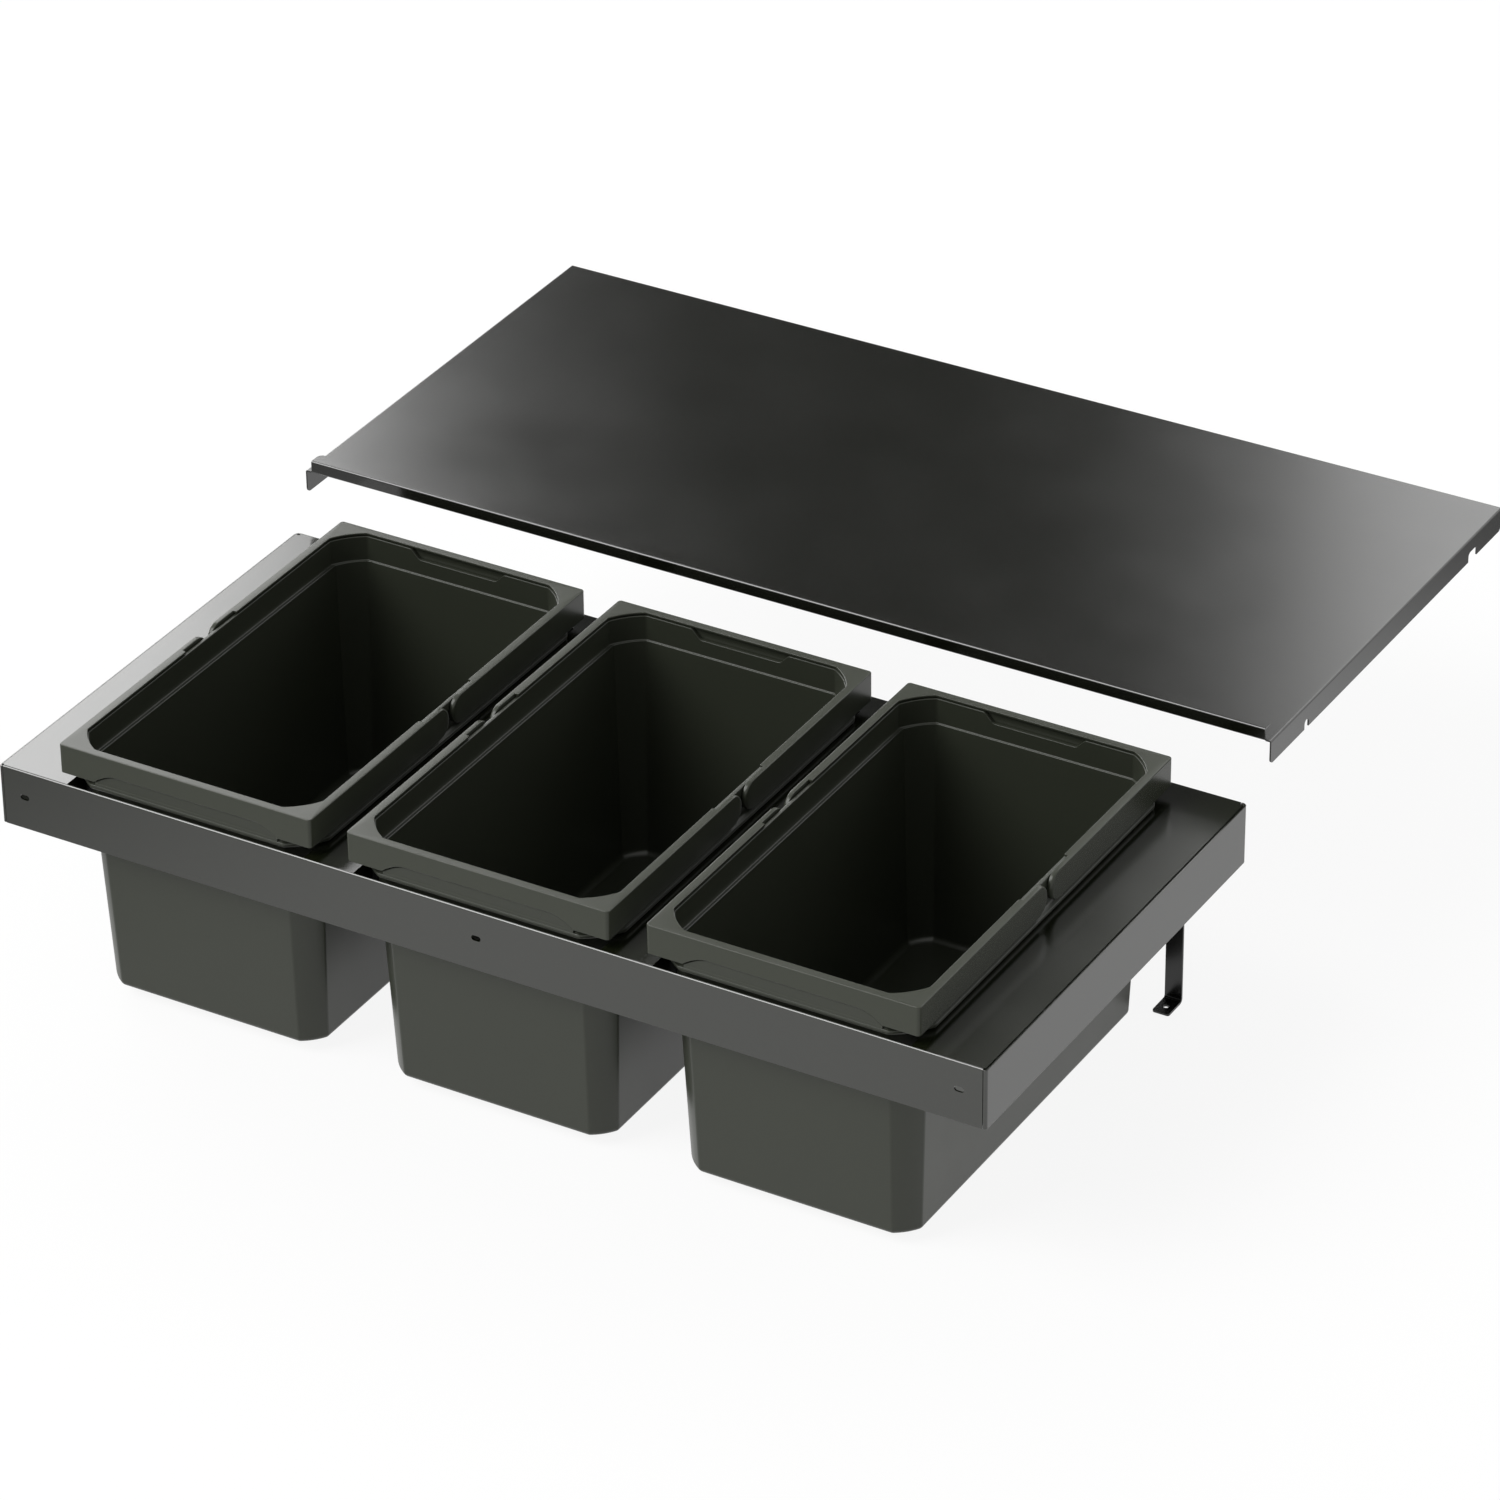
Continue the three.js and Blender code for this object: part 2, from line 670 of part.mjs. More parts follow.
// The right strap: riveted inside the rear apron, bent forward into a foot with a screw hole.
function strapSolid() {
  const centre = frameWidth / 2 - strapInset;
  const back = frameDepth - sheet - seatGap;
  const face = back - strapThickness;
  const tip = face - footLength + strapThickness;
  const quarter = Math.PI / 2;
  const inner = strapBend - strapThickness;
  const profile = new THREE.Shape();
  profile.moveTo(tip, -footDrop);
  profile.lineTo(back - strapBend, -footDrop);
  profile.absarc(back - strapBend, -footDrop + strapBend, strapBend, -quarter, 0, false);
  profile.lineTo(back, -strapTop);
  profile.lineTo(face, -strapTop);
  profile.lineTo(face, -footDrop + strapBend);
  profile.absarc(back - strapBend, -footDrop + strapBend, inner, 0, -quarter, true);
  profile.lineTo(tip, -footDrop + strapThickness);
  const low = centre - strapWidth / 2;
  const high = centre + strapWidth / 2;
  const plan = roundedRectangle(low, tip, high, back + 1, [footCorner, footCorner, 0, 0]);
  const ends = roundedRectangle(low, -footDrop - 1, high, -strapTop, [0, 0, 2, 2]);
  let strap = prismAcross(profile, low - 1, high + 1, 5)
    .intersect(prismUp(plan, -footDrop - 1, 0, 4))
    .intersect(prismBack(ends, tip - 1, back + 1, 4))
    .subtract(
      prismUp(
        circleShape(centre, tip + footHoleInset, footHoleRadius),
        -footDrop - 1,
        -footDrop + strapThickness + 1,
        10,
      ),
    );
  for (const { x, z } of rivetPlaces()) {
    const hole = circleShape(x, z, rivetRadius + pinGap);
    strap = strap.subtract(prismBack(hole, face - 1, back + 1, 10));
  }
  return strap;
}

// A rivet through strap and apron, drawn on the X axis with its outer head at the positive end.
function rivetSolid() {
  const grip = sheet + seatGap + strapThickness + 2 * seatGap;
  const crown = rivetHeadRadius * 0.55;
  const shoulder = rivetHeadHeight * 0.55;
  const half = grip / 2;
  return turnedAcross(
    [
      [0, -half - rivetHeadHeight],
      [crown, -half - rivetHeadHeight],
      [rivetHeadRadius, -half - rivetHeadHeight + shoulder],
      [rivetHeadRadius, -half],
      [rivetRadius, -half],
      [rivetRadius, half],
      [rivetHeadRadius, half],
      [rivetHeadRadius, half + rivetHeadHeight - shoulder],
      [crown, half + rivetHeadHeight],
      [0, half + rivetHeadHeight],
    ],
    rivetFacets,
  );
}

// ---- Lid ----
// Drawn with the front edge of the sheet at y = 0 and the sheet's top face at z = 0.
function lidSolid() {
  const half = lidWidth / 2;
  const quarter = Math.PI / 2;
  const r = lidBend;
  const section = new THREE.Shape();
  section.moveTo(-half, -lidApron);
  section.lineTo(-half + lidSheet, -lidApron);
  section.lineTo(-half + lidSheet, -r);
  section.absarc(-half + r, -r, r - lidSheet, 2 * quarter, quarter, true);
  section.lineTo(half - r, -lidSheet);
  section.absarc(half - r, -r, r - lidSheet, quarter, 0, true);
  section.lineTo(half - lidSheet, -lidApron);
  section.lineTo(half, -lidApron);
  section.lineTo(half, -r);
  section.absarc(half - r, -r, r, 0, quarter, false);
  section.lineTo(-half + r, 0);
  section.absarc(-half + r, -r, r, quarter, 2 * quarter, false);
  const side = roundedRectangle(0, -lidApron, lidDepth, 1, [
    lidApronCorner,
    lidApronCorner,
    0,
    0,
  ]);
  const lipHalf = frameWidth / 2;
  const foldDepth = lidSheet + lipBend;
  const clear = roundedRectangle(
    -lipHalf - lipRelief,
    -1,
    lipHalf + lipRelief,
    foldDepth,
    [0, 0, 0, 0],
  );
  const upstand = new THREE.Shape();
  upstand.moveTo(foldDepth + 1, -lidSheet);
  upstand.lineTo(foldDepth + 1, 0);
  upstand.lineTo(foldDepth, 0);
  upstand.absarc(foldDepth, lipBend, lipBend, -quarter, -2 * quarter, true);
  upstand.lineTo(lidSheet, lipRise - foldDepth);
  upstand.absarc(foldDepth, lipRise - foldDepth, lipBend, 2 * quarter, quarter, true);
  upstand.lineTo(foldDepth + 1, lipRise - lidSheet);
  upstand.lineTo(foldDepth + 1, lipRise);
  upstand.lineTo(foldDepth, lipRise);
  upstand.absarc(foldDepth, lipRise - foldDepth, foldDepth, quarter, 2 * quarter, false);
  upstand.lineTo(0, lipBend);
  upstand.absarc(foldDepth, lipBend, foldDepth, 2 * quarter, 3 * quarter, false);
  const flange = roundedRectangle(-lipHalf, foldDepth, lipHalf, lipReturn, [
    0,
    0,
    lipReturnCorner,
    lipReturnCorner,
  ]);
  let lid = prismBack(section, 0, lidDepth, 4)
    .intersect(prismAcross(side, -half - 1, half + 1, 5))
    .subtract(prismUp(clear, -lidSheet - 1, 1))
    .add(prismAcross(upstand, -lipHalf, lipHalf, 4))
    .add(prismUp(flange, lipRise - lidSheet, lipRise, 5));
  for (const { place, width, height } of [frontPegNotch, rearPegNotch]) {
    const notch = roundedRectangle(
      place - width / 2,
      -lidApron - 1,
      place + width / 2,
      -lidApron + height,
      [0, 0, pegNotchRadius, pegNotchRadius],
    );
    lid = lid.subtract(prismAcross(notch, -half - 1, half + 1, 5));
  }
  return lid;
}

// ---- Assembly ----
const insert = new THREE.Group();
insert.position.z = originDrop;

function addMesh(name, solid, finish, parent = insert) {
  const mesh = new THREE.Mesh(geometryOf(solid), new THREE.MeshStandardMaterial(finish));
  mesh.name = name;
  parent.add(mesh);
  return mesh;
}

addMesh("frame_top_panel", topPanelSolid(), steelPaint);
addMesh("side_cheek_right", cheekSolid(), steelPaint);
addMesh("side_cheek_left", mirroredX(cheekSolid()), steelPaint);
addMesh("support_strap_right", strapSolid(), strapSteel);
addMesh("support_strap_left", mirroredX(strapSolid()), strapSteel);

const rivetY = frameDepth + seatGap - (sheet + strapThickness + 3 * seatGap) / 2;
for (const [side, sign] of [
  ["right", 1],
  ["left", -1],
]) {
  rivetPlaces().forEach(({ x, z }, index) => {
    const rivet = addMesh(`strap_rivet_${side}_${index + 1}`, rivetSolid(), rivetSteel);
    rivet.rotation.z = Math.PI / 2;
    rivet.position.set(sign * x, rivetY, z);
  });
}

const binNames = ["left", "middle", "right"];
binCentres().forEach((x, index) => {
  const name = binNames[index] ?? `extra_${index + 1}`;
  const place = new THREE.Group();
  place.position.set(x, binCentreY, 0);
  insert.add(place);
  addMesh(`bin_${name}`, binSolid(), binPlastic, place);
  addMesh(`front_bail_${name}`, bailSolid(), bailPlastic, place);
  const rear = addMesh(`rear_bail_${name}`, bailSolid(), bailPlastic, place);
  rear.rotation.z = Math.PI;
});

const lid = addMesh("lid", lidSolid(), lidPaint);
lid.position.set(0, frameDepth + lidRunOut, lidTop);

export default insert;
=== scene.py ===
"""Looks of a pull-out waste sorting insert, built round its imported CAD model.

Each sub-assembly is a class that takes its place and its overall size from the CAD nodes, holds its
own finer sizes in millimetres, builds its meshes and dresses them. The scene's unit is the metre.
"""

import logging
import math
from collections.abc import Callable, Iterable, Sequence
from dataclasses import dataclass, field
from enum import Enum

import bmesh
import bpy
from mathutils import Matrix, Vector


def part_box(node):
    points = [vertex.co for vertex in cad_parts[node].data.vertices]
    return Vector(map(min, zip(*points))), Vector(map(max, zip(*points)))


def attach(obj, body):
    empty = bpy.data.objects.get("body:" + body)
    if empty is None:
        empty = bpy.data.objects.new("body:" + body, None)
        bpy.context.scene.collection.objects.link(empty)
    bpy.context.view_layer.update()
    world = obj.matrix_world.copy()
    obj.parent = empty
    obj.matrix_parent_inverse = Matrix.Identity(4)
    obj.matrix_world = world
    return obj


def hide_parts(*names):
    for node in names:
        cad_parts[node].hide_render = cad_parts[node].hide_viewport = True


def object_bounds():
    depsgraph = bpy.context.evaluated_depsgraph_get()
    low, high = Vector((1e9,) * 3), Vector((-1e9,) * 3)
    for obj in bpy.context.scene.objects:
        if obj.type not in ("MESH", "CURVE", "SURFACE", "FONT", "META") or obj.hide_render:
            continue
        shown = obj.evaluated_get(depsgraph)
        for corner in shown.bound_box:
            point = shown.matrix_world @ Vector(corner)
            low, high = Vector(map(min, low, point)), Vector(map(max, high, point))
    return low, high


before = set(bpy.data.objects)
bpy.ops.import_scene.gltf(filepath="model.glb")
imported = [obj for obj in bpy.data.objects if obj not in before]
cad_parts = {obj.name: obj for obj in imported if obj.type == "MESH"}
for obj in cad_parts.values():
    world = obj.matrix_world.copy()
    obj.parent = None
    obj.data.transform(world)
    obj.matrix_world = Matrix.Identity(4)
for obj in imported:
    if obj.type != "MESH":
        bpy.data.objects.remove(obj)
CAD_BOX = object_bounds()

log = logging.getLogger("sorting_insert")

METRES_PER_MM = 0.001
TOUCH_GAP = 0.3  # mm left between two pieces that touch
OVERSHOOT = 2.0  # mm that a cutting tool reaches past the face it cuts
HAIR = 0.01  # mm, too little to see
SAME_POINT = 1e-6  # m, closer points are merged
NO_LENGTH = 1e-7  # m, shorter edges are taken out
FLAT_TURN = 0.5  # degrees that faces may turn and still be merged into one
EDGE_TURN = 35.0  # degrees, above which an edge is rounded
FLAT_WEIGHT = 90  # how much the large faces rule the shading, out of 100
CORNER_STEPS = 6  # faces round a rectangle's corner
SRGB_TOE, SRGB_SLOPE, SRGB_OFFSET, SRGB_POWER = 0.04045, 12.92, 0.055, 2.4  # the sRGB curve
SHADE_INPUT, COLOUR_INPUT = 6, 7  # the two colours that a mix node goes between

PLACES = ("left", "middle", "right")  # of the bins, seen from the front
HANDS = ((1, "right"), (-1, "left"))  # the sign of x on each side, and the side's name
SIDES = (-1, 1)  # the left or the front one, then the right or the rear one
SHARP = (0.0, 0.0, 0.0, 0.0)  # corner radii of a plain rectangle

Point2 = tuple[float, float]
Point3 = tuple[float, float, float]


class Slot(Enum):
    """The record's material slots."""

    FRAME = "frame_paint"
    LID = "lid_paint"
    STRAP = "strap_paint"
    RIVET = "rivet_steel"
    BIN = "bin_plastic"
    BAIL = "bail_plastic"


class Plane(Enum):
    """The plane that an outline is drawn in; a prism runs along the axis that is left."""

    TOP = "xy"
    SIDE = "yz"
    FRONT = "xz"


class Join(Enum):
    """How a tool changes a piece."""

    CUT = "DIFFERENCE"
    ADD = "UNION"
    KEEP = "INTERSECT"


# ---------------------------------------------------------------------------------------------
# Drawing
# ---------------------------------------------------------------------------------------------
class Outline:
    """A closed flat outline in millimetres, drawn point by point."""

    def __init__(self) -> None:
        """Starts with no points."""
        self.points: list[Point2] = []

    def to(self, u: float, v: float) -> "Outline":
        """Adds a corner."""
        self.points.append((u, v))
        return self

    def arc(
        self, centre: Point2, radius: float, start: float, end: float, steps: int = 8
    ) -> "Outline":
        """Adds an arc.

        Args:
            centre: Its centre.
            radius: Its radius.
            start: The angle of its first point, in degrees.
            end: The angle of its last point; a larger one turns to the left.
            steps: The number of straight steps.

        Returns:
            The outline itself.
        """
        for k in range(steps + 1):
            angle = math.radians(start + (end - start) * k / steps)
            u = centre[0] + radius * math.cos(angle)
            self.points.append((u, centre[1] + radius * math.sin(angle)))
        return self


def rounded_rectangle(low: Point2, high: Point2, radii: Sequence[float]) -> Outline:
    """Draws a rectangle with its own radius at each corner.

    Args:
        low: The corner with the lowest values.
        high: The corner with the highest values.
        radii: The radii at low-low, high-low, high-high and low-high; 0 is a sharp corner.

    Returns:
        The outline.
    """
    outline = Outline()
    signs = ((1, 1), (-1, 1), (-1, -1), (1, -1))
    corners = (low, (high[0], low[1]), high, (low[0], high[1]))
    for index, ((u, v), (along_u, along_v), radius) in enumerate(zip(corners, signs, radii)):
        if radius <= 0:
            outline.to(u, v)
            continue
        centre = (u + along_u * radius, v + along_v * radius)
        start = 180 + 90 * index
        outline.arc(centre, radius, start, start + 90, CORNER_STEPS)
    return outline


def circle(centre: Point2, radius: float, steps: int = 24) -> Outline:
    """Draws a circle.

    Args:
        centre: Its centre.
        radius: Its radius.
        steps: The number of straight steps.

    Returns:
        The outline.
    """
    outline = Outline().arc(centre, radius, 0, 360, steps)
    outline.points.pop()
    return outline


def channel(low: float, high: float, apron: float, sheet: float, bend: float) -> Outline:
    """Draws a sheet in section with both its ends folded down.

    Args:
        low: Where its first apron's outer face stands.
        high: Where its second apron's outer face stands.
        apron: The aprons' depth below the sheet's top.
        sheet: The sheet's thickness.
        bend: The folds' outer radius.

    Returns:
        The outline.
    """
    inner = bend - sheet
    return (
        Outline()
        .to(low, -apron)
        .to(low + sheet, -apron)
        .arc((low + bend, -bend), inner, 180, 90)
        .arc((high - bend, -bend), inner, 90, 0)
        .to(high - sheet, -apron)
        .to(high, -apron)
        .arc((high - bend, -bend), bend, 0, 90)
        .arc((low + bend, -bend), bend, 90, 180)
    )


def quarter_round(steps: int) -> list[Point2]:
    """Draws a quarter round of radius 1 in straight steps.

    Args:
        steps: The number of steps.

    Returns:
        For each of its points what is left of the radius along the one face, which falls from 1 to
        0, and what is gone of it along the other, which rises from 0 to 1.
    """
    turns = [math.radians(90 * step / steps) for step in range(steps + 1)]
    return [(1 - math.sin(turn), 1 - math.cos(turn)) for turn in turns]


@dataclass(frozen=True)
class CornerCut:
    """A corner cut off by a shallow arc, its two ends eased."""

    bow: float = 0.26  # half the arc's angle, in radians
    ease: float = 1.3  # length along each side over which an end is eased, mm
    ease_steps: int = 4
    arc_steps: int = 8

    @property
    def count(self) -> int:
        """How many points the corner has."""
        return 2 * self.ease_steps + self.arc_steps + 1

    def points(self, leg: float) -> list[Point2]:
        """Draws the corner.

        Args:
            leg: How much of each side the cut takes away.

        Returns:
            Distances in from the first and from the second side, from one end to the other.
        """
        radius = leg / math.sqrt(2) / math.sin(self.bow)
        middle = leg / 2 + radius * math.cos(self.bow) / math.sqrt(2)
        sweep = self.bow - self.ease / radius

        def on_arc(angle: float) -> Point2:
            turn = math.pi / 4 + angle
            return (middle - radius * math.cos(turn), middle - radius * math.sin(turn))

        start, knee, end = (0.0, leg + self.ease), (0.0, leg), on_arc(-sweep)
        eased = []
        for step in range(self.ease_steps):
            t = step / self.ease_steps
            near, mid, far = (1 - t) ** 2, 2 * t * (1 - t), t * t
            u, v = (near * a + mid * b + far * c for a, b, c in zip(start, knee, end))
            eased.append((u, v))
        shares = [2 * step / self.arc_steps - 1 for step in range(self.arc_steps + 1)]
        arc = [on_arc(sweep * share) for share in shares]
        return [*eased, *arc, *((v, u) for u, v in reversed(eased))]


def inset_leg(leg: float, inset: float) -> float:
    """The leg of a corner cut that keeps the wall even when the outline moves in by an inset."""
    return leg - inset * (2 - math.sqrt(2))


class MeshDraft:
    """The vertices and faces of one piece, gathered in millimetres before it becomes an object."""

    def __init__(self) -> None:
        """Starts empty."""
        self.points: list[Point3] = []
        self.faces: list[tuple[int, ...]] = []

    def loft(self, rings: Sequence[Sequence[Point3]], capped: bool = True) -> "MeshDraft":
        """Runs a skin through rings that have the same number of points.

        Args:
            rings: The rings, in order along the skin.
            capped: Whether the first and the last ring are closed with a flat face.

        Returns:
            The draft itself.
        """
        first = len(self.points)
        count = len(rings[0])
        for ring in rings:
            self.points.extend(ring)
        for level in range(len(rings) - 1):
            low = first + level * count
            for k in range(count):
                after = (k + 1) % count
                self.faces.append((low + k, low + after, low + count + after, low + count + k))
        if capped:
            self.faces.append(tuple(first + k for k in reversed(range(count))))
            last = first + (len(rings) - 1) * count
            self.faces.append(tuple(last + k for k in range(count)))
        return self

    def prism(self, outline: Outline, plane: Plane, low: float, high: float) -> "MeshDraft":
        """Runs an outline along the axis that its plane leaves.

        Args:
            outline: The outline.
            plane: Its plane.
            low: Where the prism starts.
            high: Where it ends.

        Returns:
            The draft itself.
        """
        place: dict[Plane, Callable[[Point2, float], Point3]] = {
            Plane.TOP: lambda p, run: (p[0], p[1], run),
            Plane.SIDE: lambda p, run: (run, p[0], p[1]),
            Plane.FRONT: lambda p, run: (p[0], run, p[1]),
        }
        return self.loft([[place[plane](p, run) for p in outline.points] for run in (low, high)])

    def block(
        self, plane: Plane, low: Point2, high: Point2, run: Point2, radii: Sequence[float] = SHARP
    ) -> "MeshDraft":
        """Runs a rectangle along the axis that its plane leaves.

        Args:
            plane: The rectangle's plane.
            low: Its corner with the lowest values.
            high: Its corner with the highest values.
            run: Where the block starts and ends along the axis.
            radii: Its corner radii, as rounded_rectangle takes them.

        Returns:
            The draft itself.
        """
        return self.prism(rounded_rectangle(low, high, radii), plane, *run)

    def turned(self, profile: Sequence[Point2], centre: Point2, steps: int = 24) -> "MeshDraft":
        """Turns a profile about a line along X.

        Args:
            profile: Pairs of radius and x; the first and the last radius are above 0.
            centre: The line's y and z.
            steps: The number of steps round the line.

        Returns:
            The draft itself.
        """
        rings = []
        for radius, x in profile:
            ring = []
            for k in range(steps):
                angle = 2 * math.pi * k / steps
                y = centre[0] + radius * math.cos(angle)
                ring.append((x, y, centre[1] + radius * math.sin(angle)))
            rings.append(ring)
        return self.loft(rings)

    def piece(self, name: str) -> bpy.types.Object:
        """Makes the object.

        Args:
            name: Its name.

        Returns:
            The object, at the origin, with doubled points merged and all faces pointing out.
        """
        mesh = bpy.data.meshes.new(name)
        scaled = [[value * METRES_PER_MM for value in point] for point in self.points]
        mesh.from_pydata(scaled, [], self.faces)
        work = bmesh.new()
        work.from_mesh(mesh)
        bmesh.ops.remove_doubles(work, verts=work.verts, dist=SAME_POINT)
        bmesh.ops.dissolve_degenerate(work, edges=work.edges, dist=NO_LENGTH)
        bmesh.ops.recalc_face_normals(work, faces=work.faces)
        work.to_mesh(mesh)
        work.free()
        return add_object(name, mesh)


def add_object(name: str, data: bpy.types.ID) -> bpy.types.Object:
    """Adds an object to the scene.

    Args:
        name: Its name.
        data: Its mesh, lamp or camera.

    Returns:
        The object.
    """
    made = bpy.data.objects.new(name, data)
    bpy.context.scene.collection.objects.link(made)
    return made


def bake_modifiers(piece: bpy.types.Object) -> None:
    """Turns what a piece's modifiers make into its mesh, and removes them.

    Args:
        piece: The piece to change.
    """
    graph = bpy.context.evaluated_depsgraph_get()
    graph.update()
    mesh = bpy.data.meshes.new_from_object(piece.evaluated_get(graph))
    mesh.name = piece.name
    piece.modifiers.clear()
    piece.data = mesh


def work_on(piece: bpy.types.Object, tools: Iterable[MeshDraft], how: Join) -> None:
    """Cuts, adds or keeps parts of a piece.

    Args:
        piece: The piece to change.
        tools: Drafts of the tools, worked with one after the other.
        how: What each tool does.
    """
    for draft in tools:
        tool = draft.piece("tool")
        modifier = piece.modifiers.new(how.name, "BOOLEAN")
        modifier.operation = how.value
        modifier.solver = "EXACT"
        modifier.object = tool
        bake_modifiers(piece)
        bpy.data.objects.remove(tool)


def ease_edges(piece: bpy.types.Object, width: float, steps: int = 2) -> None:
    """Rounds every sharp edge, as deburring and paint do.

    Args:
        piece: The piece to change.
        width: The width of the rounding, in millimetres.
        steps: The number of faces across it.
    """
    clean = bmesh.new()
    clean.from_mesh(piece.data)
    bmesh.ops.remove_doubles(clean, verts=clean.verts, dist=SAME_POINT)
    flat = math.radians(FLAT_TURN)
    bmesh.ops.dissolve_limit(clean, angle_limit=flat, verts=clean.verts, edges=clean.edges)
    clean.to_mesh(piece.data)
    clean.free()
    modifier = piece.modifiers.new("eased edges", "BEVEL")
    modifier.width = width * METRES_PER_MM
    modifier.segments = steps
    modifier.limit_method = "ANGLE"
    modifier.angle_limit = math.radians(EDGE_TURN)
    modifier.use_clamp_overlap = True
    bake_modifiers(piece)


def shade_smooth(piece: bpy.types.Object, sharp: float = 50.0) -> None:
    """Shades rounded faces smoothly and keeps flat ones flat.

    Args:
        piece: The piece to shade.
        sharp: Edges that turn by more than this angle stay sharp, in degrees.
    """
    piece.data.shade_smooth()
    piece.data.set_sharp_from_angle(angle=math.radians(sharp))
    modifier = piece.modifiers.new("flat faces stay flat", "WEIGHTED_NORMAL")
    modifier.keep_sharp = True
    modifier.weight = FLAT_WEIGHT
    bake_modifiers(piece)


# ---------------------------------------------------------------------------------------------
# Finishes
# ---------------------------------------------------------------------------------------------
def linear_colour(code: str) -> tuple[float, float, float, float]:
    """Turns an sRGB colour into the linear one that a shader works in.

    Args:
        code: The sRGB colour, as # and six hex digits.

    Returns:
        Red, green, blue and a full alpha.
    """
    values = []
    for part in bytes.fromhex(code[1:]):
        share = part / 255
        if share <= SRGB_TOE:
            values.append(share / SRGB_SLOPE)
        else:
            values.append(((share + SRGB_OFFSET) / (1 + SRGB_OFFSET)) ** SRGB_POWER)
    return (*values, 1.0)


def per_metre(size: float) -> float:
    """Gives the scale of a pattern whose features are size millimetres wide."""
    return 1 / (size * METRES_PER_MM)


def bare_tree(owner: bpy.types.Material | bpy.types.World) -> bpy.types.NodeTree:
    """Gives a new material or world an empty node tree.

    Args:
        owner: The material or world.

    Returns:
        Its tree.
    """
    owner.use_nodes = True
    owner.node_tree.nodes.clear()
    return owner.node_tree


def add_node(
    tree: bpy.types.NodeTree,
    kind: str,
    settings: dict[str, object] | None = None,
    values: dict[str | int, object] | None = None,
    links: dict[str | int, bpy.types.NodeSocket] | None = None,
) -> bpy.types.Node:
    """Adds a node with its settings and links.

    Args:
        tree: The tree to add it to.
        kind: Its type.
        settings: Its own properties.
        values: What its unlinked inputs are set to, by name or place.
        links: What its linked inputs are fed from, by name or place.

    Returns:
        The node.
    """
    node = tree.nodes.new(kind)
    for name, value in (settings or {}).items():
        setattr(node, name, value)
    for name, value in (values or {}).items():
        node.inputs[name].default_value = value
    for name, socket in (links or {}).items():
        tree.links.new(socket, node.inputs[name])
    return node


@dataclass(frozen=True)
class Finish:
    """What every finish has: a relief, and a colour and a roughness that wander a little."""

    name: str
    colour: str  # sRGB
    shade: str  # sRGB, the darker end of the colour's drift
    roughness: float
    roughness_drift: float
    drift_size: float  # mm, width of the soft patches that colour and roughness drift over
    relief_size: float  # mm, width of one bump of the relief
    relief_height: float  # mm
    relief_strength: float
    metallic: float = 0.0
    ior: float = 1.5
    noise_spread: Point2 = (0.3, 0.7)  # where nearly all of a noise's values lie
    patch_share: float = 0.5  # how much the soft patches rule the colour, beside the relief

    def material(self) -> bpy.types.Material:
        """Builds the material.

        Returns:
            The material, its patterns laid out in the piece's own space.
        """
        made = bpy.data.materials.new(self.name)
        tree = bare_tree(made)
        place = add_node(tree, "ShaderNodeTexCoord").outputs["Object"]
        drift = add_node(
            tree,
            "ShaderNodeTexNoise",
            values={"Scale": per_metre(self.drift_size), "Detail": 3.0, "Roughness": 0.55},
            links={"Vector": place},
        )
        grain = self.grain(tree, place)
        mask = add_node(
            tree,
            "ShaderNodeMath",
            settings={"operation": "MULTIPLY_ADD", "use_clamp": True},
            values={1: self.patch_share},
            links={0: drift.outputs["Fac"], 2: grain},
        )
        colour = add_node(
            tree,
            "ShaderNodeMix",
            settings={"data_type": "RGBA"},
            values={
                SHADE_INPUT: linear_colour(self.shade),
                COLOUR_INPUT: linear_colour(self.colour),
            },
            links={0: mask.outputs["Value"]},
        )
        roughness = add_node(
            tree,
            "ShaderNodeMapRange",
            values={
                "From Min": self.noise_spread[0],
                "From Max": self.noise_spread[1],
                "To Min": self.roughness - self.roughness_drift,
                "To Max": self.roughness + self.roughness_drift,
            },
            links={"Value": drift.outputs["Fac"]},
        )
        relief = add_node(
            tree,
            "ShaderNodeBump",
            values={
                "Strength": self.relief_strength,
                "Distance": self.relief_height * METRES_PER_MM,
            },
            links={"Height": grain},
        )
        surface = add_node(
            tree,
            "ShaderNodeBsdfPrincipled",
            values={"Metallic": self.metallic, "IOR": self.ior},
            links={
                "Base Color": colour.outputs[2],
                "Roughness": roughness.outputs["Result"],
                "Normal": relief.outputs["Normal"],
            },
        )
        add_node(tree, "ShaderNodeOutputMaterial", links={"Surface": surface.outputs["BSDF"]})
        return made

    def grain(self, tree: bpy.types.NodeTree, place: bpy.types.NodeSocket) -> bpy.types.NodeSocket:
        """Adds the nodes of a soft, rounded relief.

        Args:
            tree: The tree to add them to.
            place: Where on the piece a point lies.

        Returns:
            The relief's height.
        """
        noise = add_node(
            tree,
            "ShaderNodeTexNoise",
            values={"Scale": per_metre(self.relief_size), "Detail": 2.0, "Roughness": 0.5},
            links={"Vector": place},
        )
        return noise.outputs["Fac"]


@dataclass(frozen=True)
class PowderCoat(Finish):
    """Polyester powder baked on to steel sheet: a satin skin with a very slight orange peel."""


@dataclass(frozen=True)
class SparkErodedPlastic(Finish):
    """Polypropylene from a spark-eroded mould: matt pits a fraction of a millimetre wide."""

    def grain(self, tree: bpy.types.NodeTree, place: bpy.types.NodeSocket) -> bpy.types.NodeSocket:
        """Adds the nodes of a pitted relief.

        Args:
            tree: The tree to add them to.
            place: Where on the piece a point lies.

        Returns:
            The relief's height.
        """
        pits = add_node(
            tree,
            "ShaderNodeTexVoronoi",
            settings={"feature": "SMOOTH_F1"},
            values={"Scale": per_metre(self.relief_size), "Smoothness": 0.6},
            links={"Vector": place},
        )
        return pits.outputs["Distance"]


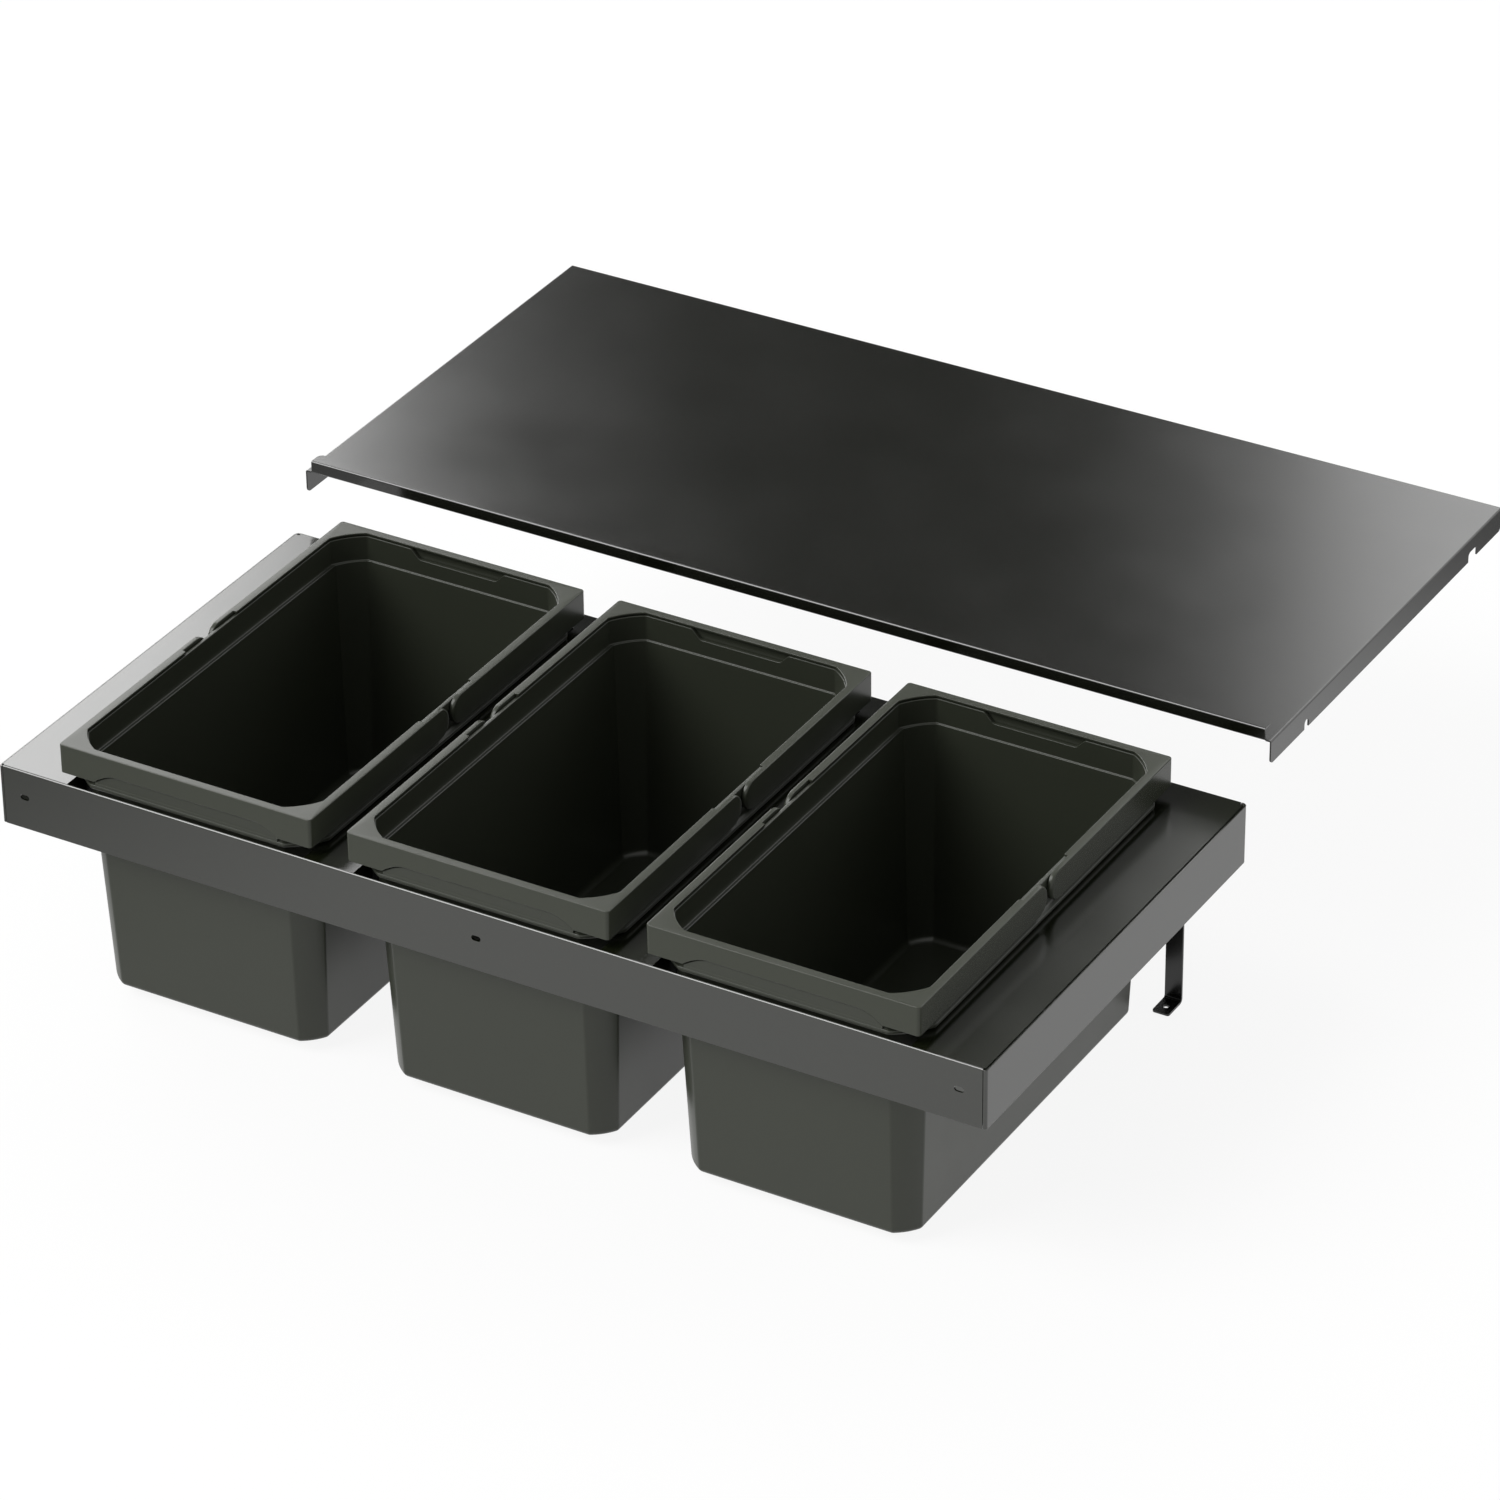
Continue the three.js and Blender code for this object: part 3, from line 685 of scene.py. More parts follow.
@dataclass(frozen=True)
class BareSteel(Finish):
    """Zinc-plated steel as it leaves the setting tool: bright, with fine scuffs."""


# Powder coat on the frame: a near-black olive polyester with a satin skin. Its own colour hardly
# shows, and what the eye reads is the soft mirror of the room, brighter the flatter one looks along
# the sheet. The binder is about 1.5; the higher IOR stands for its clear, pigment-free top skin.
FRAME_POWDER_COAT = PowderCoat(
    name="satin powder coat on steel sheet",
    colour="#15180d",
    shade="#12150b",
    roughness=0.175,
    roughness_drift=0.01,
    drift_size=90.0,
    relief_size=1.4,
    relief_height=0.002,
    relief_strength=0.15,
    ior=1.76,
)

# Powder coat on the lid, from the same batch but on a larger, flatter sheet, so it lies smoother
# and draws the lamps a little sharper.
LID_POWDER_COAT = PowderCoat(
    name="smooth powder coat on lid sheet",
    colour="#0e0f09",
    shade="#0c0d08",
    roughness=0.155,
    roughness_drift=0.01,
    drift_size=120.0,
    relief_size=1.8,
    relief_height=0.002,
    relief_strength=0.15,
    ior=1.7,
)

# The straps are coated thinly in near black, so their edges stay crisp and their skin is glossier.
STRAP_POWDER_COAT = PowderCoat(
    name="thin black powder coat on strap",
    colour="#111110",
    shade="#0d0d0c",
    roughness=0.25,
    roughness_drift=0.02,
    drift_size=30.0,
    relief_size=1.1,
    relief_height=0.006,
    relief_strength=0.25,
    ior=1.5,
)

# Zinc-plated rivet: a grey metal, dulled by the scuffs of the setting tool.
RIVET_ZINC = BareSteel(
    name="zinc-plated steel rivet",
    colour="#8f908c",
    shade="#767773",
    roughness=0.36,
    roughness_drift=0.05,
    drift_size=2.5,
    relief_size=0.5,
    relief_height=0.01,
    relief_strength=0.3,
    metallic=1.0,
)

# Spark-eroded polypropylene of the bins. The real pits are about 0.1 mm wide; they are drawn at
# 0.7 mm, the finest that shows, and kept shallow. They give the walls their matt, even tone. The
# plastic is about 1.49; the lower IOR stands for the light that the pits trap.
BIN_POLYPROPYLENE = SparkErodedPlastic(
    name="spark-eroded polypropylene of the bins",
    colour="#32352c",
    shade="#2e3129",
    roughness=0.35,
    roughness_drift=0.02,
    drift_size=60.0,
    relief_size=0.7,
    relief_height=0.008,
    relief_strength=0.2,
    ior=1.42,
)

# The bails come from the same granulate. Their mould is finer, so they are smoother than the bins:
# their flanges mirror the lamps softly, and hardly any grain shows. Its pits too are drawn coarser
# than they are, at 0.6 mm, and the lower IOR stands for the light that they trap.
BAIL_POLYPROPYLENE = SparkErodedPlastic(
    name="spark-eroded polypropylene of the bails",
    colour="#383b32",
    shade="#35382f",
    roughness=0.24,
    roughness_drift=0.02,
    drift_size=60.0,
    relief_size=0.6,
    relief_height=0.005,
    relief_strength=0.12,
    ior=1.36,
)

FINISHES: dict[Slot, Finish] = {
    Slot.FRAME: FRAME_POWDER_COAT,
    Slot.LID: LID_POWDER_COAT,
    Slot.STRAP: STRAP_POWDER_COAT,
    Slot.RIVET: RIVET_ZINC,
    Slot.BIN: BIN_POLYPROPYLENE,
    Slot.BAIL: BAIL_POLYPROPYLENE,
}


class Wardrobe:
    """Makes each finish once and hands it out by slot."""

    def __init__(self) -> None:
        """Starts with no material made."""
        self.made: dict[Slot, bpy.types.Material] = {}

    def dress(self, piece: bpy.types.Object, slot: Slot) -> None:
        """Gives a piece its finish.

        Args:
            piece: The piece.
            slot: The slot of its finish.
        """
        if slot not in self.made:
            self.made[slot] = FINISHES[slot].material()
        piece.data.materials.clear()
        piece.data.materials.append(self.made[slot])


# ---------------------------------------------------------------------------------------------
# What the CAD model gives
# ---------------------------------------------------------------------------------------------
@dataclass(frozen=True)
class Box:
    """A CAD node's box at rest, in millimetres."""

    low: Vector
    high: Vector

    @classmethod
    def of(cls, node: str) -> "Box":
        """Reads a node's box."""
        low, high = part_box(node)
        return cls(low / METRES_PER_MM, high / METRES_PER_MM)

    @property
    def size(self) -> Vector:
        """Its three lengths."""
        return self.high - self.low

    @property
    def centre(self) -> Vector:
        """Its middle."""
        return (self.low + self.high) / 2


def panel_face() -> float:
    """The height of the frame's top face, which the bins and bails are measured from."""
    return Box.of("frame_top_panel").high.z


def bin_place(side: str) -> Vector:
    """The middle of a bin, at the height of the frame's top face."""
    centre = Box.of(f"bin_{side}").centre
    return Vector((centre.x, centre.y, panel_face()))


@dataclass
class SubAssembly:
    """A group of pieces that is built and dressed together."""

    wardrobe: Wardrobe

    def settle(
        self, piece: bpy.types.Object, body: str, slot: Slot, node: str, place: Vector
    ) -> None:
        """Puts a finished piece where its CAD node is.

        Args:
            piece: The piece.
            body: The CAD body that it moves with.
            slot: The slot of its finish.
            node: The CAD node that it stands for.
            place: Where its own origin goes, in millimetres.
        """
        piece.location = place * METRES_PER_MM
        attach(piece, body)
        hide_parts(node)
        self.wardrobe.dress(piece, slot)
        log.info("%s stands for %s", piece.name, node)


# ---------------------------------------------------------------------------------------------
# Bins
# ---------------------------------------------------------------------------------------------
@dataclass
class SortingBin(SubAssembly):
    """One tapered tub with a collar, a carrying lip, an inner ledge and grips under the bails."""

    lip_reach: float = 3.6
    bail_gap: float = 0.5  # collar to bail
    pin_length: float = 2.2
    collar_wall: float = 3.2
    collar_cut: float = 23.0
    collar_edge: float = 1.0
    rim_ease: float = 0.6  # rim kept low, which leaves a dark line under the flange
    wall: float = 2.5
    body_inset: float = 4.0
    body_inset_depth: float = 2.35
    taper: float = 7.1
    taper_depth: float = 10.2
    body_cut: float = 20.0
    body_cut_low: float = 16.0
    corner: CornerCut = CornerCut()
    floor_thickness: float = 3.0
    foot_recess: float = 2.0
    foot_ring: float = 12.0
    foot_edge: float = 5.0
    foot_steps: int = 6  # faces round the foot's edge
    edge_steps: int = 3  # faces round a small edge
    rim_steps: int = 4  # faces round the rim and under the lip
    cove_steps: int = 6  # faces down the hollow over the lip
    neck: float = 0.4  # step from the lip's underside to the body
    ledge_height: float = 9.0
    ledge_edge: float = 0.8
    lip_height: float = 4.9
    lip_cove: float = 3.0
    lip_edge: float = 2.8
    lip_top_edge: float = 0.6
    notch_top: float = 86.0
    notch_bottom: float = 73.0
    notch_depth: float = 8.0
    notch_parts: int = 3  # its foot is eased over the third part of its depth
    notch_lead: float = 1.2  # station before the top of its slope
    notch_end: float = 1.0  # how far its slope runs out past the top
    notch_floor: tuple[float, float] = (12.0, 24.0)  # stations on its floor
    wall_station: float = 60.0  # station on the wall beside it
    ramp_reach: float = 3.0
    ramp_flare: float = 0.4
    ramp_foot: float = 7.2
    ramp_gap: float = 0.7  # ramp to bail
    ramp_edge: float = 0.7
    ramp_tail: float = 1.0  # how far a ramp starts below the lip's top
    ramp_sweep: tuple[Point2, ...] = (  # its foot: reach past its face, height over ramp_foot
        (0.4, -0.3),
        (0.32, -0.08),
        (0.15, 0.15),
        (0.06, 0.8),
        (0.0, 1.8),
    )
    sunk: float = 0.5  # how far ramps and pins reach into the collar
    pin_radius: float = 4.0
    pin_lead: float = 0.5
    pin_height: float = 20.5
    pin_offset: float = 14.8
    width: float = field(init=False)
    depth: float = field(init=False)
    drop: float = field(init=False)
    rim: float = field(init=False)

    def __post_init__(self) -> None:
        """Takes the overall sizes from the CAD node of the left bin."""
        box = Box.of("bin_left")
        top = panel_face()
        self.width = box.size.x - 2 * self.lip_reach
        self.depth = box.size.y - 2 * self.lip_reach
        self.drop = top - box.low.z
        self.rim = box.high.z - top - self.rim_ease

    def stations(self) -> list[float]:
        """Places the points along the front and the rear wall.

        Returns:
            Their x, closer together where the grip notch turns.
        """
        easing = self.notch_depth / self.notch_parts
        slope = (self.notch_top - self.notch_bottom) / 2 / self.notch_depth
        foot, top = self.notch_bottom / 2, self.notch_top / 2
        notch = [foot - easing, foot - easing / self.notch_parts, foot, foot + slope * easing]
        notch += [top - self.notch_lead, top, top + self.notch_end]
        half = [*self.notch_floor, *notch, self.wall_station]
        return [-x for x in reversed(half)] + [0.0] + half

    def notch_share(self, x: float) -> float:
        """Tells how deep the grip notch is.

        Args:
            x: The place along the wall, from its middle.

        Returns:
            Its share of the full depth, from 1 on its floor to 0 outside it.
        """
        foot = self.notch_bottom / 2 - self.notch_depth / self.notch_parts
        reach = self.notch_top / 2 + self.notch_end - foot
        t = min(max((abs(x) - foot) / reach, 0.0), 1.0)
        return 1 - t * t * (3 - 2 * t)

    def ring(
        self,
        half_width: float,
        half_depth: float,
        leg: float,
        height: float,
        notched: bool = False,
    ) -> list[Point3]:
        """Draws one level of the tub: a rectangle with its four corners cut.

        Args:
            half_width: Half its width.
            half_depth: Half its depth.
            leg: The leg of its corner cuts.
            height: Its height above the top of the frame.
            notched: Whether the grip notches pull it down.

        Returns:
            Its points, turning to the left from the rear end of the right side.
        """
        corner = self.corner.points(leg)
        turned = corner[::-1]
        points: list[Point3] = []
        for side in (1, -1):
            for x, y in corner:
                points.append((side * (half_width - x), side * (half_depth - y), height))
            for x_there in self.stations():
                sink = self.notch_depth * self.notch_share(x_there) if notched else 0.0
                points.append((-side * x_there, side * half_depth, height - sink))
            for x, y in turned:
                points.append((-side * (half_width - x), side * (half_depth - y), height))
        return points

    def body_ring(self, height: float, inset: float) -> list[Point3]:
        """Draws a level of the tapered body.

        Args:
            height: Its height above the top of the frame.
            inset: How far it lies inside the outer face.

        Returns:
            Its points.
        """
        low = -height / self.drop
        leg = self.body_cut + (self.body_cut_low - self.body_cut) * max(low, 0.0)
        return self.ring(
            self.width / 2 - self.body_inset - self.taper * low - inset,
            self.depth / 2 - self.body_inset_depth - self.taper_depth * low - inset,
            inset_leg(leg, inset),
            height,
        )

    def collar_ring(self, height: float, inset: float, notched: bool = False) -> list[Point3]:
        """Draws a level of the upright collar.

        Args:
            height: Its height above the top of the frame.
            inset: How far it lies inside the outer face.
            notched: Whether the grip notches pull it down.

        Returns:
            Its points.
        """
        return self.ring(
            self.width / 2 - inset,
            self.depth / 2 - inset,
            inset_leg(self.collar_cut, inset),
            height,
            notched,
        )

    def inner_levels(self) -> list[list[Point3]]:
        """Draws the inside.

        Returns:
            The levels from the floor up to the rim.
        """
        floor = -self.drop + self.foot_recess + self.floor_thickness
        foot, ledge, edge = self.foot_edge, self.ledge_edge, self.collar_edge / 2
        small = quarter_round(self.edge_steps)
        levels = [
            self.body_ring(floor + foot * rising, self.wall + foot * falling)
            for falling, rising in quarter_round(self.foot_steps)
        ]
        levels += [
            self.body_ring(self.ledge_height - ledge * falling, self.wall - ledge * rising)
            for falling, rising in small
        ]
        levels += [
            self.collar_ring(self.ledge_height + ledge * rising, self.collar_wall + ledge * falling)
            for falling, rising in small
        ]
        levels += [
            self.collar_ring(self.rim - edge * falling, self.collar_wall - edge * rising, True)
            for falling, rising in small
        ]
        return levels

    def outer_levels(self) -> list[list[Point3]]:
        """Draws the outside.

        Returns:
            The levels from the rim down to the underside of the floor.
        """
        edge, reach = self.collar_edge, self.lip_reach
        top_edge, low_edge = self.lip_top_edge, self.lip_edge
        wide = quarter_round(self.rim_steps)
        shares = [step / self.cove_steps for step in range(self.cove_steps)]
        levels = [
            self.collar_ring(self.rim - edge * rising, edge * falling, True)
            for falling, rising in wide
        ]
        levels += [
            self.collar_ring(
                self.lip_height + self.lip_cove * (1 - share), -(reach - top_edge) * share**2
            )
            for share in shares
        ]
        levels += [
            self.collar_ring(self.lip_height - top_edge * rising, top_edge * falling - reach)
            for falling, rising in quarter_round(self.edge_steps)
        ]
        levels += [
            self.collar_ring(TOUCH_GAP + low_edge * falling, low_edge * rising - reach)
            for falling, rising in wide
        ]
        levels += [self.body_ring(TOUCH_GAP, self.neck), self.body_ring(TOUCH_GAP - self.neck, 0.0)]
        foot = -self.drop
        levels += [
            self.body_ring(foot + self.foot_edge * falling, self.foot_edge * rising)
            for falling, rising in quarter_round(self.foot_steps)
        ]
        levels.append(self.body_ring(foot, self.foot_ring))
        levels.append(self.body_ring(foot + self.foot_recess, self.foot_ring + self.foot_recess))
        return levels

    def ramp_section(self, top: float) -> list[Point2]:
        """Draws the grip ramp in section.

        Args:
            top: The height that it reaches up to.

        Returns:
            Distances from the bin's middle, and heights.
        """
        back = self.depth / 2 - self.sunk
        face = self.depth / 2 + self.ramp_reach
        edge, tail = self.ramp_edge, self.lip_height - self.ramp_tail
        shape = [(back, tail), (face + self.ramp_flare, tail)]
        shape += [(face + past, self.ramp_foot + rise) for past, rise in self.ramp_sweep]
        section = [(out, min(height, top - edge)) for out, height in shape]
        section += [
            (face - edge * rising, top - edge * falling)
            for falling, rising in quarter_round(self.edge_steps)
        ]
        return [*section, (back, top)]

    def ramp(self, tub: MeshDraft, arch: "FingerArch", side: int) -> None:
        """Sets the grip ramp against the front or the rear of the collar.

        Args:
            tub: The draft that it is added to.
            arch: The finger arch of a bail, which the ramp fills.
            side: -1 for the front and 1 for the rear.
        """
        low = arch.low - self.ramp_gap
        foot = arch.foot - self.ramp_gap
        rings = []
        for x in arch.stations(foot):
            top = max(arch.lift(abs(x) + self.ramp_gap) + low, arch.low)
            rings.append([(side * x, side * out, height) for out, height in self.ramp_section(top)])
        tub.loft(rings)

    def draft(self, arch: "FingerArch") -> MeshDraft:
        """Lofts the tub and sets its ramps and pivot pins against the collar.

        Args:
            arch: The finger arch of a bail, which a ramp fills.

        Returns:
            The draft.
        """
        tub = MeshDraft().loft([*self.inner_levels(), *self.outer_levels()])
        for side in SIDES:
            self.ramp(tub, arch, side)
        start, lead = self.width / 2 - self.sunk, self.pin_lead
        end = self.width / 2 + self.bail_gap + self.pin_length
        radius = self.pin_radius
        pin = ((radius, start), (radius, end - lead), (radius - lead, end))
        for side in SIDES:
            profile = [(reach, side * x) for reach, x in pin]
            for offset in (-self.pin_offset, self.pin_offset):
                tub.turned(profile, (offset, self.pin_height))
        return tub

    def build(self, arch: "FingerArch") -> None:
        """Builds the tub once and hangs a copy of it at each bin's place.

        Args:
            arch: The finger arch of a bail, which a ramp fills.
        """
        model = self.draft(arch).piece("bin_tub")
        shade_smooth(model)
        for side in PLACES:
            node = f"bin_{side}"
            tub = add_object(f"{node}_tub", model.data.copy())
            self.settle(tub, f"{side}_bin", Slot.BIN, node, bin_place(side))
        bpy.data.objects.remove(model)


# ---------------------------------------------------------------------------------------------
# Bails
# ---------------------------------------------------------------------------------------------
@dataclass(frozen=True)
class FingerArch:
    """The arch in a bail's lower edge, in millimetres from the middle and above the frame."""

    low: float  # the skirt's lower edge
    crown: float = 62.0  # half the length of the level part
    foot: float = 82.0
    rise: float = 8.8
    softness: float = 8.0
    near_middle: float = 30.0  # a station on the level part
    ramp_steps: int = 12  # faces of a ramp along each bend

    def lift(self, x: float) -> float:
        """Tells how far the arch lifts the skirt's lower edge.

        Args:
            x: The place along the arch, from its middle.

        Returns:
            The lift.
        """
        bend = self.foot - self.crown - 2 * self.softness
        past = min(max(abs(x) - self.crown, 0.0), self.foot - self.crown)
        t = (math.sqrt(self.softness**2 + bend * past) - self.softness) / bend
        return self.rise * (1 - t * t)

    def stations(self, foot: float) -> list[float]:
        """Places the points of a ramp along the arch.

        Args:
            foot: The last place from the middle.

        Returns:
            Their x from end to end, closer together where the arch bends.
        """
        steps = self.ramp_steps
        half = [self.crown + (foot - self.crown) * k / steps for k in range(steps + 1)]
        return [*(-x for x in reversed(half)), -self.near_middle, 0.0, self.near_middle, *half]


@dataclass
class CarryBail(SubAssembly):
    """A U-shaped carry bail: a skirt outside the collar and a flange over the rim."""

    skirt: float = 4.0
    flange: float = 7.0
    flange_thickness: float = 1.8
    corner: float = 3.0
    pocket_corner: float = 1.5
    cut: CornerCut = CornerCut()
    flange_leg: float = 21.5  # leg of the flange's corner cuts
    relief: float = 32.0
    tip_gap: float = 5.0
    edge: float = 0.8
    tip_edge: float = 2.0  # outer edge round the arm's end
    inner_edge: float = 0.5
    fillet: float = 0.6
    fillet_steps: int = 2
    face_rows: tuple[float, ...] = (1, 0.5, 0, -0.2)  # points down the inside, in fillets
    chamfer: float = 0.2  # under the flange's inner edge
    edge_steps: int = 3  # faces round an edge
    relief_ramp: float = 0.6  # run over which the flange narrows to nothing
    tip_turns: tuple[float, ...] = (90, 84, 76, 66, 54, 42, 30, 15, 0)  # degrees round the end
    arch_steps: int = 10  # faces along each bend of the arch
    skirt_station: float = 90.0  # station on the skirt beside the arch
    pin_radius: float = 4.3
    pin_depth: float = 2.5
    width: float = field(init=False)
    depth: float = field(init=False)
    height: float = field(init=False)
    low: float = field(init=False)

    def __post_init__(self) -> None:
        """Takes the overall sizes from the CAD node of the front left bail."""
        box = Box.of("front_bail_left")
        rear = Box.of("rear_bail_left")
        self.width = box.size.x
        self.depth = rear.high.y - box.low.y
        self.height = box.size.z
        self.low = box.low.z - panel_face()

    @property
    def pivot(self) -> Point2:
        """The pivot's y and height; the arm ends in a half round about it."""
        return (-(self.tip_gap + self.height) / 2, self.low + self.height / 2)

    @property
    def arch(self) -> FingerArch:
        """The finger arch in the front of the skirt."""
        return FingerArch(self.low)

    def section(self, flange_reach: float, edge: float) -> list[tuple[float, float, bool]]:
        """Draws the skirt and the flange in section.

        Args:
            flange_reach: How far the flange reaches in from the outer face.
            edge: The radius of the outer face's two long edges.

        Returns:
            Inset from the outer face, height above the pivot and whether the point follows the
            flange's wide corners, up the outside, over the top and down the inside.
        """
        half, skirt, inner = self.height / 2, self.skirt, self.inner_edge
        under = half - self.flange_thickness
        rounding = quarter_round(self.edge_steps)
        outside = [(edge * falling, -half + edge * rising) for falling, rising in rounding]
        outside += [(edge * rising, half - edge * falling) for falling, rising in rounding]
        tip = [
            (flange_reach - inner * falling, half - inner * rising)
            for falling, rising in rounding
        ]
        tip.append((flange_reach, under + self.chamfer))
        tip.append((max(flange_reach - self.chamfer, skirt), under))
        fillet = self.fillet if flange_reach > skirt else 0
        inside = [
            (skirt + fillet * falling, under - self.fillet * rising)
            for falling, rising in quarter_round(self.fillet_steps)
        ]
        inside += [(skirt, -under + self.fillet * row) for row in self.face_rows]
        inside += [
            (skirt - inner * rising, -half + inner * falling) for falling, rising in rounding
        ]
        runs = ((outside, False), (tip, True), (inside, False))
        return [(inset, height, wide) for run, wide in runs for inset, height in run]

    def corner_of(self, inset: float) -> tuple[float, float]:
        """Tells how the skirt turns its front corners.

        Args:
            inset: How far a line of the skirt lies inside the outer face.

        Returns:
            The line's radius, and how far its centre lies inside the outer face.
        """
        if inset < self.skirt - self.inner_edge - HAIR:
            return self.corner - inset, self.corner
        return self.skirt + self.pocket_corner - inset, self.skirt + self.pocket_corner

    def rings(self) -> list[list[Point3]]:
        """Draws the whole bail.

        Returns:
            Its sections, from the left arm's end round the front to the right arm's.
        """
        reach, ramp = self.relief + self.tip_gap / 2, self.relief_ramp
        arms = [-self.tip_gap / 2 - self.height]
        arms += [HAIR - reach, -reach, -reach - ramp / 2, -reach - ramp]
        half = [self.tip_section(turn) for turn in self.tip_turns]
        half += [self.arm_section(y) for y in arms]
        half += [self.arm_section(2 * self.flange_leg - self.depth / 2)]
        half += [self.corner_section(station) for station in range(self.cut.count)]
        arch, steps = self.arch, self.arch_steps
        bends = [arch.crown + (arch.foot - arch.crown) * k / steps for k in range(steps, -1, -1)]
        half += [self.front_section(x) for x in (self.skirt_station, *bends, arch.near_middle)]
        mirrored = [[(-x, y, z) for x, y, z in ring] for ring in reversed(half)]
        return [*half, self.front_section(0.0), *mirrored]

    def tip_section(self, turn: float) -> list[Point3]:
        """Draws a section of the arm's half-round end.

        Args:
            turn: How far it is turned about the pivot, in degrees.

        Returns:
            Its points.
        """
        y_pivot, z_pivot = self.pivot
        angle = math.radians(turn)
        edge = self.edge + (self.tip_edge - self.edge) * math.sin(angle)
        points = []
        for inset, height, _ in self.section(self.skirt, edge):
            y = y_pivot + abs(height) * math.sin(angle)
            points.append((-self.width / 2 + inset, y, z_pivot + height * math.cos(angle)))
        return points

    def arm_section(self, y: float) -> list[Point3]:
        """Draws a section of the left arm.

        Args:
            y: Its place along the arm.

        Returns:
            Its points.
        """
        relief_end = -self.relief - self.tip_gap / 2
        past = relief_end - y
        share = 0.0 if past < 0 else min(past / self.relief_ramp, 1.0)
        reach = self.skirt + (self.flange - self.skirt) * math.sqrt(share)
        z_pivot = self.pivot[1]
        return [
            (-self.width / 2 + inset, y, z_pivot + height)
            for inset, height, _ in self.section(reach, self.edge)
        ]

    def corner_section(self, station: int) -> list[Point3]:
        """Draws a section of the front left corner.

        Args:
            station: Its number round the corner.

        Returns:
            Its points.
        """
        angle = math.radians(180 + 90 * station / (self.cut.count - 1))
        z_pivot = self.pivot[1]
        points = []
        for inset, height, wide in self.section(self.flange, self.edge):
            if wide:
                leg = inset_leg(self.flange_leg, inset - self.flange)
                x, y = self.cut.points(leg)[station]
                x, y = x + inset, y + inset
            else:
                radius, centre = self.corner_of(inset)
                x, y = centre + radius * math.cos(angle), centre + radius * math.sin(angle)
            points.append((x - self.width / 2, y - self.depth / 2, z_pivot + height))
        return points

    def front_section(self, x: float) -> list[Point3]:
        """Draws a section of the front run.

        Args:
            x: Its place, to the left of the middle.

        Returns:
            Its points.
        """
        z_pivot = self.pivot[1]
        arch = self.arch
        squeeze = 1 - self.flange_leg / (self.width / 2 - self.corner - arch.crown)
        points = []
        for inset, height, wide in self.section(self.flange, self.edge):
            place = x
            if wide and x > arch.crown:
                place = arch.crown + (x - arch.crown) * squeeze
            lift = arch.lift(x) if height < -self.height / 2 + 2 * self.edge else 0.0
            points.append((-place, -self.depth / 2 + inset, z_pivot + height + lift))
        return points

    def pin_holes(self) -> MeshDraft:
        """Draws the two blind holes for the bin's pivot pins.

        Returns:
            The draft of a tool that cuts them.
        """
        holes = MeshDraft()
        pocket = self.width / 2 - self.skirt
        for side in SIDES:
            ends = (pocket - OVERSHOOT, pocket + self.pin_depth)
            holes.turned([(self.pin_radius, side * x) for x in ends], self.pivot)
        return holes

    def build(self) -> None:
        """Builds the bail once and hangs a copy of it at the front and the rear of each bin."""
        model = MeshDraft().loft(self.rings(), capped=False).piece("bail")
        work_on(model, [self.pin_holes()], Join.CUT)
        shade_smooth(model)
        for side in PLACES:
            for end, turn in (("front", 0.0), ("rear", math.pi)):
                node = f"{end}_bail_{side}"
                bail = add_object(f"{node}_moulding", model.data.copy())
                bail.rotation_euler.z = turn
                self.settle(bail, f"{side}_{end}_bail", Slot.BAIL, node, bin_place(side))
        bpy.data.objects.remove(model)


